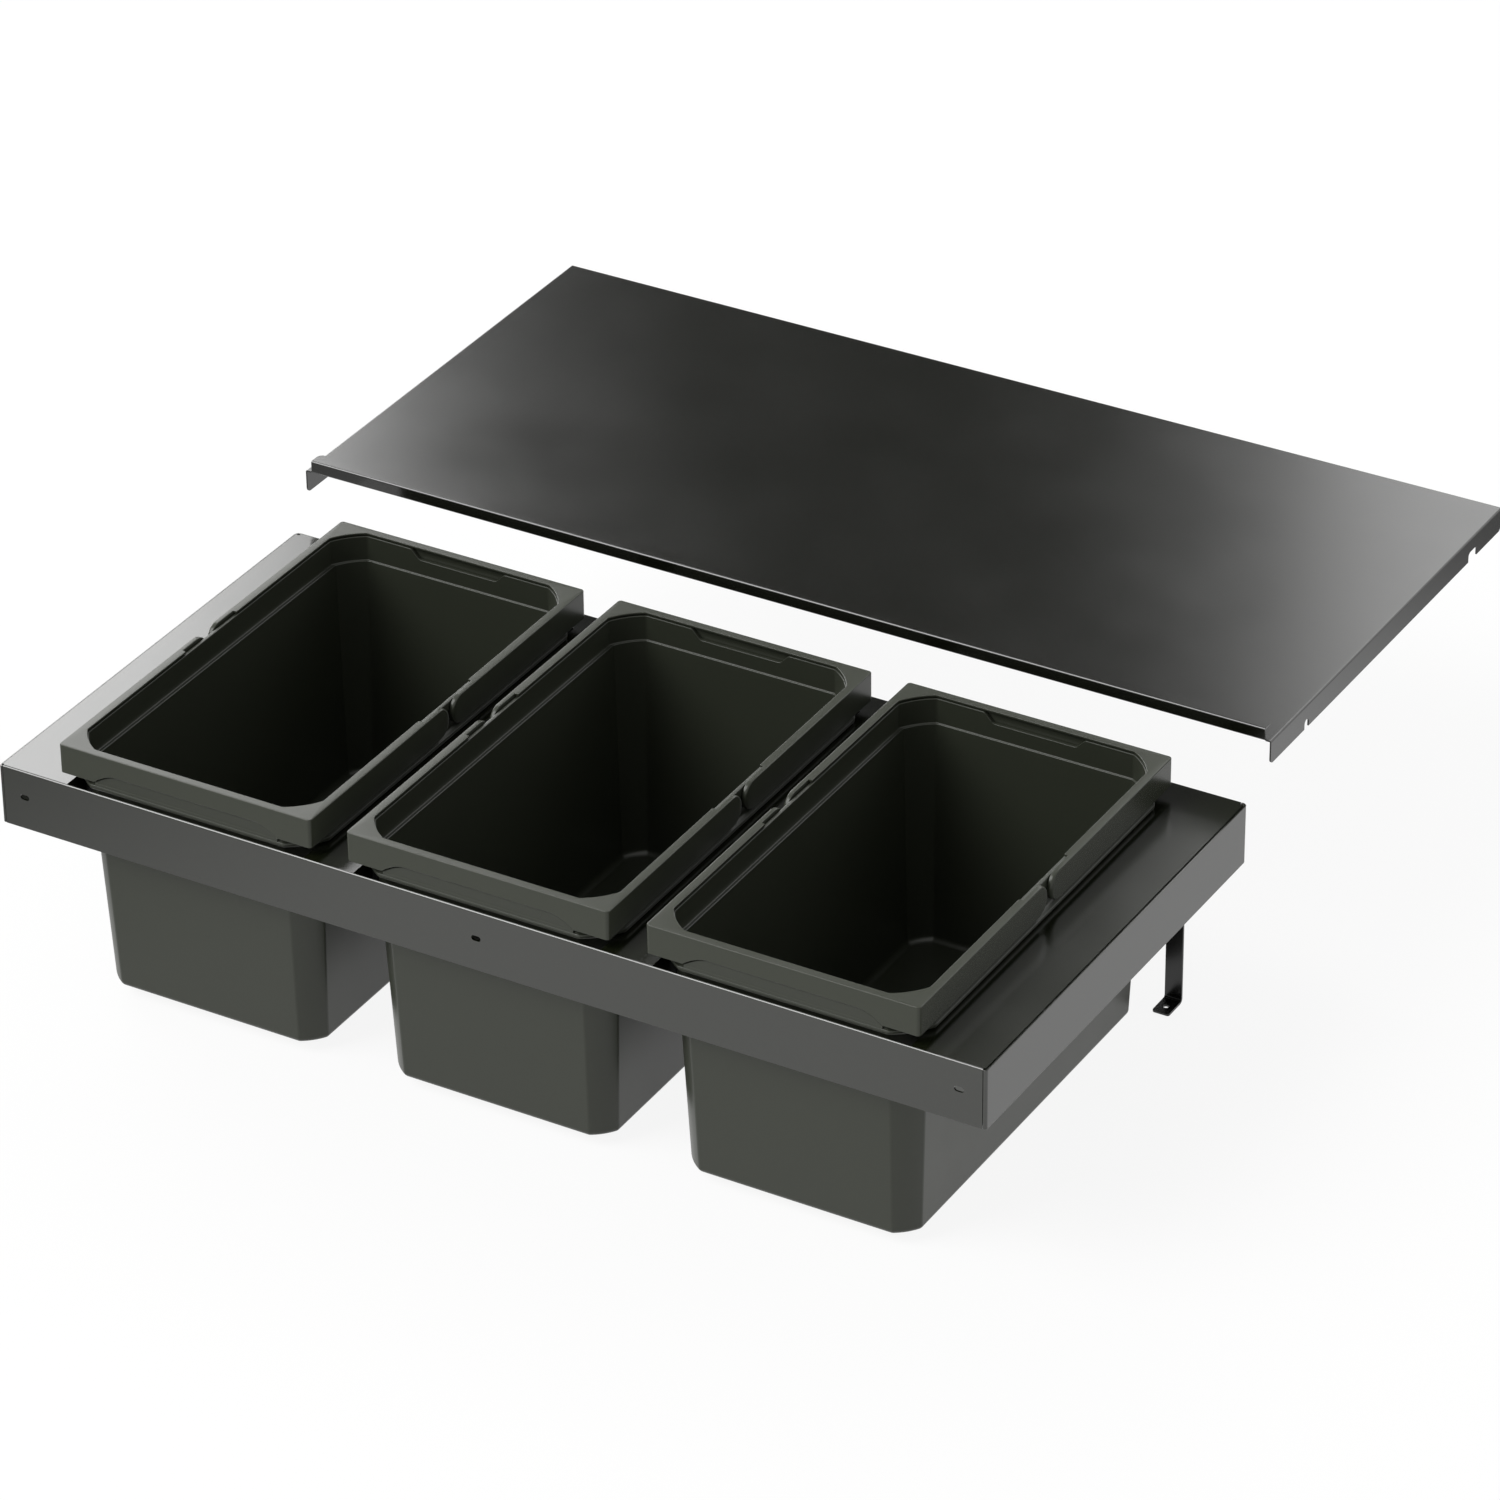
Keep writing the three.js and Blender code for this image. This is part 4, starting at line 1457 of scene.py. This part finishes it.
# ---------------------------------------------------------------------------------------------
# Frame
# ---------------------------------------------------------------------------------------------
@dataclass
class SheetFrame(SubAssembly):
    """The folded top panel with its aprons, and the two side cheeks."""

    sheet: float = 1.5
    bend: float = 1.7
    cheek_drop: float = 0.7  # cheek's top below the panel's face
    seam: float = 0.45  # open gap between the panel and a cheek
    wrap: float = 2.0
    wrap_reach: float = 2.9  # how far a cheek reaches along the front apron
    rear_wrap: float = 4.0
    rear_wrap_reach: float = 5.0
    weld_flange: float = 12.0
    flange_corner: float = 3.0
    cutout_gap: float = 2.4
    cutout_corner: float = 5.0
    cutout_fold: float = 26.0
    slot_length: float = 8.0
    slot_height: float = 4.5
    slot_drop: float = 23.0
    slot_inset: float = 22.0
    rivet_hole: float = 2.3
    rivet_inset: float = 56.0
    rivet_drops: tuple[float, float] = (17.0, 37.0)
    edge: float = 0.35
    half_width: float = field(init=False)
    depth: float = field(init=False)
    apron: float = field(init=False)
    top: float = field(init=False)

    def __post_init__(self) -> None:
        """Takes the overall sizes from the CAD nodes."""
        panel = Box.of("frame_top_panel")
        self.half_width = Box.of("side_cheek_right").high.x
        self.depth = panel.size.y
        self.apron = panel.size.z
        self.top = panel.high.z

    def openings(self, tub: SortingBin) -> list[tuple[float, float, float]]:
        """Places the bins' openings.

        Args:
            tub: The bin that hangs in them.

        Returns:
            The left, the right and the rear edge of each.
        """
        half = tub.width / 2 - tub.body_inset + self.cutout_gap
        back = tub.depth / 2 - tub.body_inset_depth + self.cutout_gap
        centres = [Box.of(f"bin_{side}").centre for side in PLACES]
        return [(centre.x - half, centre.x + half, centre.y + back) for centre in centres]

    def panel_tools(self, tub: SortingBin) -> list[MeshDraft]:
        """Draws the tools that cut the top panel.

        Args:
            tub: The bin that hangs in its openings.

        Returns:
            Tools for the openings, the screw slots, the rivet holes and the corners.
        """
        openings, slots, holes, corners = (MeshDraft() for _ in range(4))
        run = (-self.sheet - self.bend, OVERSHOOT)
        radii = (0, 0, self.cutout_corner, self.cutout_corner)
        for left, right, rear in self.openings(tub):
            openings.block(Plane.TOP, (left, self.sheet), (right, rear), run, radii)
        spread = self.half_width - self.slot_inset
        long, high = self.slot_length / 2, self.slot_height / 2
        run = (-OVERSHOOT, self.sheet + OVERSHOOT)
        for x in (-spread, 0, spread):
            low_corner = (x - long, -self.slot_drop - high)
            high_corner = (x + long, -self.slot_drop + high)
            slots.block(Plane.FRONT, low_corner, high_corner, run, (high,) * 4)
        rear_low = self.depth - self.rear_wrap - self.seam
        notches = (
            (self.wrap_reach, -OVERSHOOT, self.wrap + self.seam),
            (self.rear_wrap_reach, rear_low, self.depth + OVERSHOOT),
        )
        for side in SIDES:
            x = side * (self.half_width - self.rivet_inset)
            for drop in self.rivet_drops:
                hole = circle((x, -drop), self.rivet_hole)
                inner, outer = self.depth - self.sheet - OVERSHOOT, self.depth + OVERSHOOT
                holes.prism(hole, Plane.FRONT, inner, outer)
            for reach, low, high in notches:
                inner = side * (self.half_width - reach - self.seam)
                outer = side * (self.half_width + OVERSHOOT)
                low_corner, high_corner = (min(inner, outer), low), (max(inner, outer), high)
                run = (-self.apron - OVERSHOOT, OVERSHOOT)
                corners.block(Plane.TOP, low_corner, high_corner, run)
        return [openings, slots, holes, corners]

    def cutout_folds(self, tub: SortingBin) -> MeshDraft:
        """Draws the edges folded down on both sides of each opening.

        Args:
            tub: The bin that hangs in the openings.

        Returns:
            Their draft.
        """
        folds, ends = MeshDraft(), 2 * self.bend
        for left, right, rear in self.openings(tub):
            for x in (left - self.sheet, right):
                run = (-self.cutout_fold, -self.sheet / 2)
                folds.block(Plane.TOP, (x, ends), (x + self.sheet, rear - ends), run)
        return folds

    def panel(self, tub: SortingBin) -> bpy.types.Object:
        """Builds the folded top panel.

        Args:
            tub: The bin that hangs in its openings.

        Returns:
            The panel.
        """
        half = self.half_width - self.sheet - self.seam
        profile = channel(0, self.depth, self.apron, self.sheet, self.bend)
        sheet = MeshDraft().prism(profile, Plane.SIDE, -half, half).piece("frame_top_sheet")
        work_on(sheet, self.panel_tools(tub), Join.CUT)
        work_on(sheet, [self.cutout_folds(tub)], Join.ADD)
        ease_edges(sheet, self.edge)
        shade_smooth(sheet)
        return sheet

    def cheek(self, side: int) -> bpy.types.Object:
        """Builds a side cheek.

        Args:
            side: 1 for the right one and -1 for the left one.

        Returns:
            The cheek.
        """
        half, depth = self.half_width, self.depth
        front, rear, sheet = self.wrap, self.rear_wrap, self.sheet
        wall = (
            Outline()
            .to(half - self.wrap_reach, 0)
            .arc((half - front, front), front, -90, 0)
            .arc((half - rear, depth - rear), rear, 0, 90)
            .to(half - self.rear_wrap_reach, depth)
            .to(half - self.rear_wrap_reach, depth - sheet)
            .arc((half - rear, depth - rear), rear - sheet, 90, 0)
            .arc((half - front, front), front - sheet, 0, -90)
            .to(half - self.wrap_reach, sheet)
        )
        clear = max(front, rear) + TOUCH_GAP
        name = "side_cheek_sheet_right" if side > 0 else "side_cheek_sheet_left"
        made = MeshDraft().prism(wall, Plane.TOP, -self.apron, -self.cheek_drop).piece(name)
        flange_top = -sheet - TOUCH_GAP
        flange = MeshDraft().block(
            Plane.TOP,
            (half - sheet - self.weld_flange, clear),
            (half - sheet / 2, depth - clear),
            (flange_top - sheet, flange_top),
            (self.flange_corner, 0, 0, self.flange_corner),
        )
        work_on(made, [flange], Join.ADD)
        if side < 0:
            mirror_across(made)
        ease_edges(made, 2 * self.edge)
        shade_smooth(made)
        return made

    def build(self, tub: SortingBin) -> None:
        """Builds the panel and both cheeks.

        Args:
            tub: The bin that hangs in the openings.
        """
        place = Vector((0, 0, self.top))
        self.settle(self.panel(tub), "frame", Slot.FRAME, "frame_top_panel", place)
        for side, word in HANDS:
            self.settle(self.cheek(side), "frame", Slot.FRAME, f"side_cheek_{word}", place)


def mirror_across(piece: bpy.types.Object) -> None:
    """Mirrors a piece's mesh across the plane x = 0."""
    piece.data.transform(Matrix.Diagonal((-1, 1, 1, 1)))
    piece.data.flip_normals()


@dataclass
class RearSupports(SubAssembly):
    """The two straps inside the rear apron, each with two blind rivets."""

    thickness: float = 2.0
    bend: float = 4.0
    hole_radius: float = 2.2
    hole_inset: float = 9.5
    foot_corner: float = 2.0
    rivet_hole: float = 2.3
    rivet_radius: float = 2.0
    head_radius: float = 3.6
    head_height: float = 1.1
    head_rim: float = 0.2  # upright rim of the outer head
    crimp_round: float = 0.3  # rounded share of the inner head's radius
    crimp_height: float = 0.8  # share of head_height over which it rounds
    mandrel_radius: float = 1.1
    bowl: float = 0.4  # how far the head's dome ends outside the mandrel
    mandrel_pit: tuple[Point2, ...] = (  # round the mandrel: past its radius, and below the head
        (0.3, 0.05),
        (0.0, 0.5),
        (-0.2, 0.45),
    )
    crimp_steps: int = 4  # faces over the inner head's rounding
    dome_steps: int = 5  # faces over the outer head's dome
    rivet_steps: int = 32  # faces round a rivet
    rivet_sharp: float = 40.0  # degrees, above which a rivet's edge stays sharp
    edge: float = 0.25

    def strap(self, side: int, sheet_frame: SheetFrame) -> bpy.types.Object:
        """Builds a strap.

        Args:
            side: 1 for the right one and -1 for the left one.
            sheet_frame: The frame that it is riveted to.

        Returns:
            The strap, its origin in the middle of the frame's front and at its top face.
        """
        word = "right" if side > 0 else "left"
        box = Box.of("support_strap_right")
        low, high, top = box.low, box.high, sheet_frame.top
        back, face = high.y, high.y - self.thickness
        bottom, head = low.z - top, high.z - top
        bend, inner = self.bend, self.bend - self.thickness
        centre = (back - bend, bottom + bend)
        profile = (
            Outline()
            .to(low.y, bottom)
            .arc(centre, bend, -90, 0)
            .to(back, head)
            .to(face, head)
            .arc(centre, inner, 0, -90)
            .to(low.y, bottom + self.thickness)
        )
        name = f"support_strap_{word}_bar"
        made = MeshDraft().prism(profile, Plane.SIDE, low.x, high.x).piece(name)
        corner, under, behind = self.foot_corner, bottom - OVERSHOOT, back + OVERSHOOT
        run, radii = (under, head + OVERSHOOT), (corner, corner, 0, 0)
        plan = MeshDraft().block(Plane.TOP, (low.x, low.y), (high.x, behind), run, radii)
        run, radii = (low.y - OVERSHOOT, behind), (0, 0, corner, corner)
        front = MeshDraft().block(Plane.FRONT, (low.x, under), (high.x, head), run, radii)
        work_on(made, [plan, front], Join.KEEP)
        x = (low.x + high.x) / 2
        hole = circle((x, low.y + self.hole_inset), self.hole_radius)
        holes = MeshDraft().prism(hole, Plane.TOP, under, bottom + self.thickness + OVERSHOOT)
        for drop in sheet_frame.rivet_drops:
            hole = circle((x, -drop), self.rivet_hole)
            holes.prism(hole, Plane.FRONT, face - OVERSHOOT, behind)
        work_on(made, [holes], Join.CUT)
        if side < 0:
            mirror_across(made)
        ease_edges(made, self.edge)
        shade_smooth(made)
        return made

    def rivet(self, name: str, length: float) -> bpy.types.Object:
        """Builds a blind rivet along X, its outer head at the positive end.

        Args:
            name: Its name.
            length: Its length over both heads.

        Returns:
            The rivet, centred on the origin.
        """
        end, head, height = length / 2, self.head_radius, self.head_height
        inner, mandrel = end - height, self.mandrel_radius
        crimp, dome, bowl = self.crimp_height * height, height - self.head_rim, mandrel + self.bowl
        profile: list[Point2] = [(mandrel, -end)]
        profile += [
            (head * (1 - self.crimp_round * falling), -end + crimp * rising)
            for falling, rising in quarter_round(self.crimp_steps)
        ]
        profile += [(head, -inner), (self.rivet_radius, -inner)]
        profile += [(self.rivet_radius, inner), (head, inner)]
        profile += [
            (head - (head - bowl) * rising, end - dome * falling)
            for falling, rising in quarter_round(self.dome_steps)[:-1]
        ]
        profile += [(mandrel + past, end - below) for past, below in self.mandrel_pit]
        made = MeshDraft().turned(profile, (0, 0), self.rivet_steps).piece(name)
        shade_smooth(made, self.rivet_sharp)
        return made

    def build(self, sheet_frame: SheetFrame) -> None:
        """Builds both straps and their rivets.

        Args:
            sheet_frame: The frame that they are riveted to.
        """
        for side, word in HANDS:
            strap = self.strap(side, sheet_frame)
            place = Vector((0, 0, sheet_frame.top))
            self.settle(strap, "frame", Slot.STRAP, f"support_strap_{word}", place)
            for number in (1, 2):
                node = f"strap_rivet_{word}_{number}"
                box = Box.of(node)
                rivet = self.rivet(f"{node}_body", box.size.y)
                rivet.rotation_euler.z = math.pi / 2
                self.settle(rivet, "frame", Slot.RIVET, node, box.centre)


# ---------------------------------------------------------------------------------------------
# Lid
# ---------------------------------------------------------------------------------------------
@dataclass
class CoverLid(SubAssembly):
    """The folded lid sheet: side aprons with peg notches, and a front upstand with a return."""

    sheet: float = 1.2
    bend: float = 1.5
    apron: float = 20.0
    apron_corner: float = 4.0
    lip_rise: float = 9.4
    lip_return: float = 13.0
    lip_return_corner: float = 5.0
    lip_bend: float = 0.3
    lip_lap: float = 1.0  # how far the upstand runs into the sheet and into its return
    lip_relief: float = 0.6
    notch_radius: float = 3.4
    front_notch: tuple[float, float, float] = (60.5, 7.0, 7.5)  # place, width, height
    rear_notch: tuple[float, float, float] = (353.5, 15.0, 8.0)
    edge: float = 0.2
    half_width: float = field(init=False)
    depth: float = field(init=False)

    def __post_init__(self) -> None:
        """Takes the overall sizes from the CAD node."""
        box = Box.of("lid")
        self.half_width = box.size.x / 2
        self.depth = box.size.y

    def upstand(self, fold: float) -> Outline:
        """Draws the front upstand in section, up to its return flange.

        Args:
            fold: The outer radius of its folds.

        Returns:
            The outline.
        """
        rise, sheet, bend, lap = self.lip_rise, self.sheet, self.lip_bend, fold + self.lip_lap
        return (
            Outline()
            .to(lap, -sheet)
            .to(lap, 0)
            .arc((fold, bend), bend, -90, -180)
            .arc((fold, rise - fold), bend, 180, 90)
            .to(lap, rise - sheet)
            .to(lap, rise)
            .arc((fold, rise - fold), fold, 90, 180)
            .arc((fold, bend), fold, 180, 270)
        )

    def build(self, sheet_frame: SheetFrame) -> None:
        """Builds the lid.

        Args:
            sheet_frame: The frame whose width the lid's upstand has.
        """
        half, depth, sheet, apron = self.half_width, self.depth, self.sheet, self.apron
        section = channel(-half, half, apron, sheet, self.bend)
        made = MeshDraft().prism(section, Plane.FRONT, 0, depth).piece("lid_sheet_metal")
        across = (-half - OVERSHOOT, half + OVERSHOOT)
        radii = (self.apron_corner, self.apron_corner, 0, 0)
        side = MeshDraft().block(Plane.SIDE, (0, -apron), (depth, OVERSHOOT), across, radii)
        work_on(made, [side], Join.KEEP)
        lip, fold = sheet_frame.half_width, sheet + self.lip_bend
        slit, run = lip + self.lip_relief, (-sheet - OVERSHOOT, OVERSHOOT)
        relief = MeshDraft().block(Plane.TOP, (-slit, -OVERSHOOT), (slit, fold), run)
        notches = MeshDraft()
        radii = (0, 0, self.notch_radius, self.notch_radius)
        for place, width, height in (self.front_notch, self.rear_notch):
            low_corner = (place - width / 2, -apron - OVERSHOOT)
            high_corner = (place + width / 2, -apron + height)
            notches.block(Plane.SIDE, low_corner, high_corner, across, radii)
        work_on(made, [relief, notches], Join.CUT)
        rise, corner = self.lip_rise, self.lip_return_corner
        run, radii = (rise - sheet, rise), (0, 0, corner, corner)
        flange = MeshDraft().block(Plane.TOP, (-lip, fold), (lip, self.lip_return), run, radii)
        upstand = MeshDraft().prism(self.upstand(fold), Plane.SIDE, -lip, lip)
        work_on(made, [upstand, flange], Join.ADD)
        ease_edges(made, self.edge)
        shade_smooth(made)
        box = Box.of("lid")
        place = Vector((box.centre.x, box.low.y, box.high.z - self.lip_rise))
        self.settle(made, "lid_sheet", Slot.LID, "lid", place)


# ---------------------------------------------------------------------------------------------
# Studio
# ---------------------------------------------------------------------------------------------
WHITE = (1.0, 1.0, 1.0, 1.0)
BLACK = (0.0, 0.0, 0.0, 1.0)


@dataclass(frozen=True)
class Softbox:
    """A rectangular studio lamp that faces the object."""

    name: str
    heading: float  # degrees from the back towards the left
    elevation: float  # degrees above the floor
    distance: float  # m
    width: float  # m
    height: float  # m
    radiance: float  # brightness of its face, where 1 is white

    @property
    def direction(self) -> Vector:
        """The way from the object to the lamp."""
        turn, rise = math.radians(self.heading), math.radians(self.elevation)
        flat = math.cos(rise)
        return Vector((-math.sin(turn) * flat, math.cos(turn) * flat, math.sin(rise)))

    def place(self, aim: Vector) -> None:
        """Sets the lamp up.

        Args:
            aim: The point that it faces, in metres.
        """
        lamp = bpy.data.lights.new(self.name, "AREA")
        lamp.shape = "RECTANGLE"
        lamp.size = self.width
        lamp.size_y = self.height
        lamp.energy = self.radiance * math.pi * self.width * self.height
        made = add_object(self.name, lamp)
        made.location = aim + self.direction * self.distance
        made.rotation_euler = self.direction.to_track_quat("Z", "Y").to_euler()
        made.visible_camera = False


@dataclass(frozen=True)
class Flag:
    """A black sheet that only reflections show, thinning across its width; on the floor it is
    painted shade.
    """

    name: str
    place: Point3  # m, its middle
    turn: Point3  # degrees about X, Y and Z
    width: float  # m, along its own x
    height: float  # m, along its own y
    density: tuple[float, float]  # share of the light it swallows at its low and high x

    def hang(self) -> None:
        """Hangs the cloth up."""
        x, y = self.width / 2, self.height / 2
        mesh = bpy.data.meshes.new(self.name)
        mesh.from_pydata([(-x, -y, 0), (x, -y, 0), (x, y, 0), (-x, y, 0)], [], [(0, 1, 2, 3)])
        mesh.materials.append(self.cloth())
        made = add_object(self.name, mesh)
        made.location = self.place
        made.rotation_euler = [math.radians(angle) for angle in self.turn]
        made.visible_camera = False
        made.visible_diffuse = False
        made.visible_shadow = False

    def cloth(self) -> bpy.types.Material:
        """Builds the cloth's material.

        Returns:
            The material, as dense as the cloth should be all across.
        """
        made = bpy.data.materials.new(f"{self.name} cloth")
        tree = bare_tree(made)
        place = add_node(tree, "ShaderNodeTexCoord").outputs["Object"]
        across = add_node(tree, "ShaderNodeSeparateXYZ", links={"Vector": place}).outputs["X"]
        share = add_node(
            tree,
            "ShaderNodeMapRange",
            settings={"interpolation_type": "SMOOTHSTEP"},
            values={
                "From Min": -self.width / 2,
                "From Max": self.width / 2,
                "To Min": self.density[0],
                "To Max": self.density[1],
            },
            links={"Value": across},
        )
        clear = add_node(tree, "ShaderNodeBsdfTransparent").outputs["BSDF"]
        black = add_node(tree, "ShaderNodeBsdfDiffuse", values={"Color": BLACK}).outputs["BSDF"]
        mixed = add_node(
            tree, "ShaderNodeMixShader", links={0: share.outputs["Result"], 1: clear, 2: black}
        )
        add_node(tree, "ShaderNodeOutputMaterial", links={"Surface": mixed.outputs["Shader"]})
        return made


@dataclass
class Studio:
    """A pale floor, a white surround, softboxes and the camera."""

    camera_place: Point3 = (2.3183, -3.5514, 2.7428)  # m
    camera_turn: float = 30.421  # degrees to the right of the middle
    camera_rise: float = 31.264  # degrees above the floor
    camera_roll: float = -0.653  # degrees
    lens: float = 166.27  # mm
    film: float = 36.0  # mm, its width
    sight: float = 100.0  # m, how far the camera sees
    floor_half: float = 12.0  # m
    floor_colour: str = "#f4f4f3"  # sRGB
    floor_glow: float = 0.9  # share of the floor that shows as plain white
    surround: float = 0.3  # brightness of the surround on matt surfaces
    lamps: tuple[Softbox, ...] = (
        Softbox("left softbox", 53.9, 26.0, 60.0, 44.4, 34.4, 4.2),
        Softbox("right softbox", 7.6, 31.0, 60.0, 37.4, 21.0, 2.15),
        Softbox("side softbox", -45.0, 25.0, 60.0, 39.0, 32.0, 0.8),
        Softbox("front softbox", 135.0, 45.0, 60.0, 36.0, 40.0, 7.0),
    )
    flags: tuple[Flag, ...] = (
        Flag("black_flag", (-24.7, 43.85, 26.76), (-62, 0, 29.4), 8.9, 40.0, (1.0, 1.0)),
        # The two sheets on the floor are painted shade that only reflections show: the front apron
        # mirrors a darker floor on its left, and the lid's right apron mirrors a painted floor
        # shadow towards the rear.
        Flag("left_painted_floor_shade", (-0.65, -0.5, -0.155), (0, 0, 0), 1.0, 1.3, (1.0, 0.0)),
        Flag("rear_painted_floor_shadow", (0.8, 1.01, -0.155), (0, 0, 90), 0.48, 1.0, (0.0, 0.75)),
    )

    def camera(self) -> None:
        """Puts the camera up."""
        turn, rise = math.radians(self.camera_turn), math.radians(self.camera_rise)
        flat = math.cos(rise)
        back = Vector((math.sin(turn) * flat, -math.cos(turn) * flat, math.sin(rise)))
        level = Vector((math.cos(turn), math.sin(turn), 0))
        upright = back.cross(level)
        roll = math.radians(self.camera_roll)
        right = level * math.cos(roll) + upright * math.sin(roll)
        up = upright * math.cos(roll) - level * math.sin(roll)
        data = bpy.data.cameras.new("camera")
        data.lens = self.lens
        data.sensor_width = self.film
        data.clip_end = self.sight
        made = add_object("camera", data)
        axes = Matrix((right, up, back)).transposed().to_4x4()
        made.matrix_world = Matrix.Translation(self.camera_place) @ axes
        bpy.context.scene.camera = made

    def floor(self) -> None:
        """Lays a pale floor just under the lowest piece; it shows white and keeps a soft shadow."""
        low = CAD_BOX[0].z / METRES_PER_MM - TOUCH_GAP
        half = self.floor_half / METRES_PER_MM
        draft = MeshDraft()
        corners = ((-half, -half), (half, -half), (half, half), (-half, half))
        draft.points = [(x, y, low) for x, y in corners]
        draft.faces = [(0, 1, 2, 3)]
        made = draft.piece("studio_floor")
        material = bpy.data.materials.new("white studio floor")
        tree = bare_tree(material)
        pale = linear_colour(self.floor_colour)
        matt = add_node(tree, "ShaderNodeBsdfDiffuse", values={"Color": pale})
        glow = add_node(tree, "ShaderNodeEmission", values={"Color": WHITE, "Strength": 1.0})
        share = add_node(
            tree,
            "ShaderNodeMath",
            settings={"operation": "MULTIPLY"},
            values={1: self.floor_glow},
            links={0: seen_directly(tree)},
        )
        mixed = add_node(
            tree,
            "ShaderNodeMixShader",
            links={0: share.outputs["Value"], 1: matt.outputs["BSDF"], 2: glow.outputs["Emission"]},
        )
        add_node(tree, "ShaderNodeOutputMaterial", links={"Surface": mixed.outputs["Shader"]})
        made.data.materials.append(material)

    def surround_world(self) -> None:
        """Makes the surround white to the eye and in reflections, and softer as a light."""
        world = bpy.data.worlds.new("white surround")
        bpy.context.scene.world = world
        tree = bare_tree(world)
        strength = add_node(
            tree,
            "ShaderNodeMapRange",
            values={"To Min": self.surround, "To Max": 1.0},
            links={"Value": seen_directly(tree)},
        )
        light = add_node(
            tree,
            "ShaderNodeBackground",
            values={"Color": WHITE},
            links={"Strength": strength.outputs["Result"]},
        )
        add_node(tree, "ShaderNodeOutputWorld", links={"Surface": light.outputs["Background"]})

    def build(self) -> None:
        """Sets the whole studio up."""
        self.camera()
        self.floor()
        for flag in self.flags:
            flag.hang()
        self.surround_world()
        aim = Vector((0, (CAD_BOX[0].y + CAD_BOX[1].y) / 2, 0))
        for lamp in self.lamps:
            lamp.place(aim)
        bpy.context.scene.view_settings.view_transform = "Standard"


def seen_directly(tree: bpy.types.NodeTree) -> bpy.types.NodeSocket:
    """Adds the nodes that tell a ray of the eye or of a reflection from one that only lights.

    Args:
        tree: The tree to add them to.

    Returns:
        A socket that is 1 for the camera's, glossy and transmitted rays, and 0 for the rest.
    """
    path = add_node(tree, "ShaderNodeLightPath")
    direct = add_node(
        tree,
        "ShaderNodeMath",
        settings={"operation": "MAXIMUM"},
        links={0: path.outputs["Is Camera Ray"], 1: path.outputs["Is Glossy Ray"]},
    )
    either = add_node(
        tree,
        "ShaderNodeMath",
        settings={"operation": "MAXIMUM"},
        links={0: direct.outputs["Value"], 1: path.outputs["Is Transmission Ray"]},
    )
    return either.outputs["Value"]


def main() -> None:
    """Builds the studio and every sub-assembly in order."""
    logging.basicConfig(level=logging.INFO, format="%(name)s: %(message)s")
    Studio().build()
    wardrobe = Wardrobe()
    tub = SortingBin(wardrobe)
    sheet_frame = SheetFrame(wardrobe)
    sheet_frame.build(tub)
    RearSupports(wardrobe).build(sheet_frame)
    bail = CarryBail(wardrobe)
    tub.build(bail.arch)
    bail.build()
    CoverLid(wardrobe).build(sheet_frame)


if __name__ == "__main__":
    main()
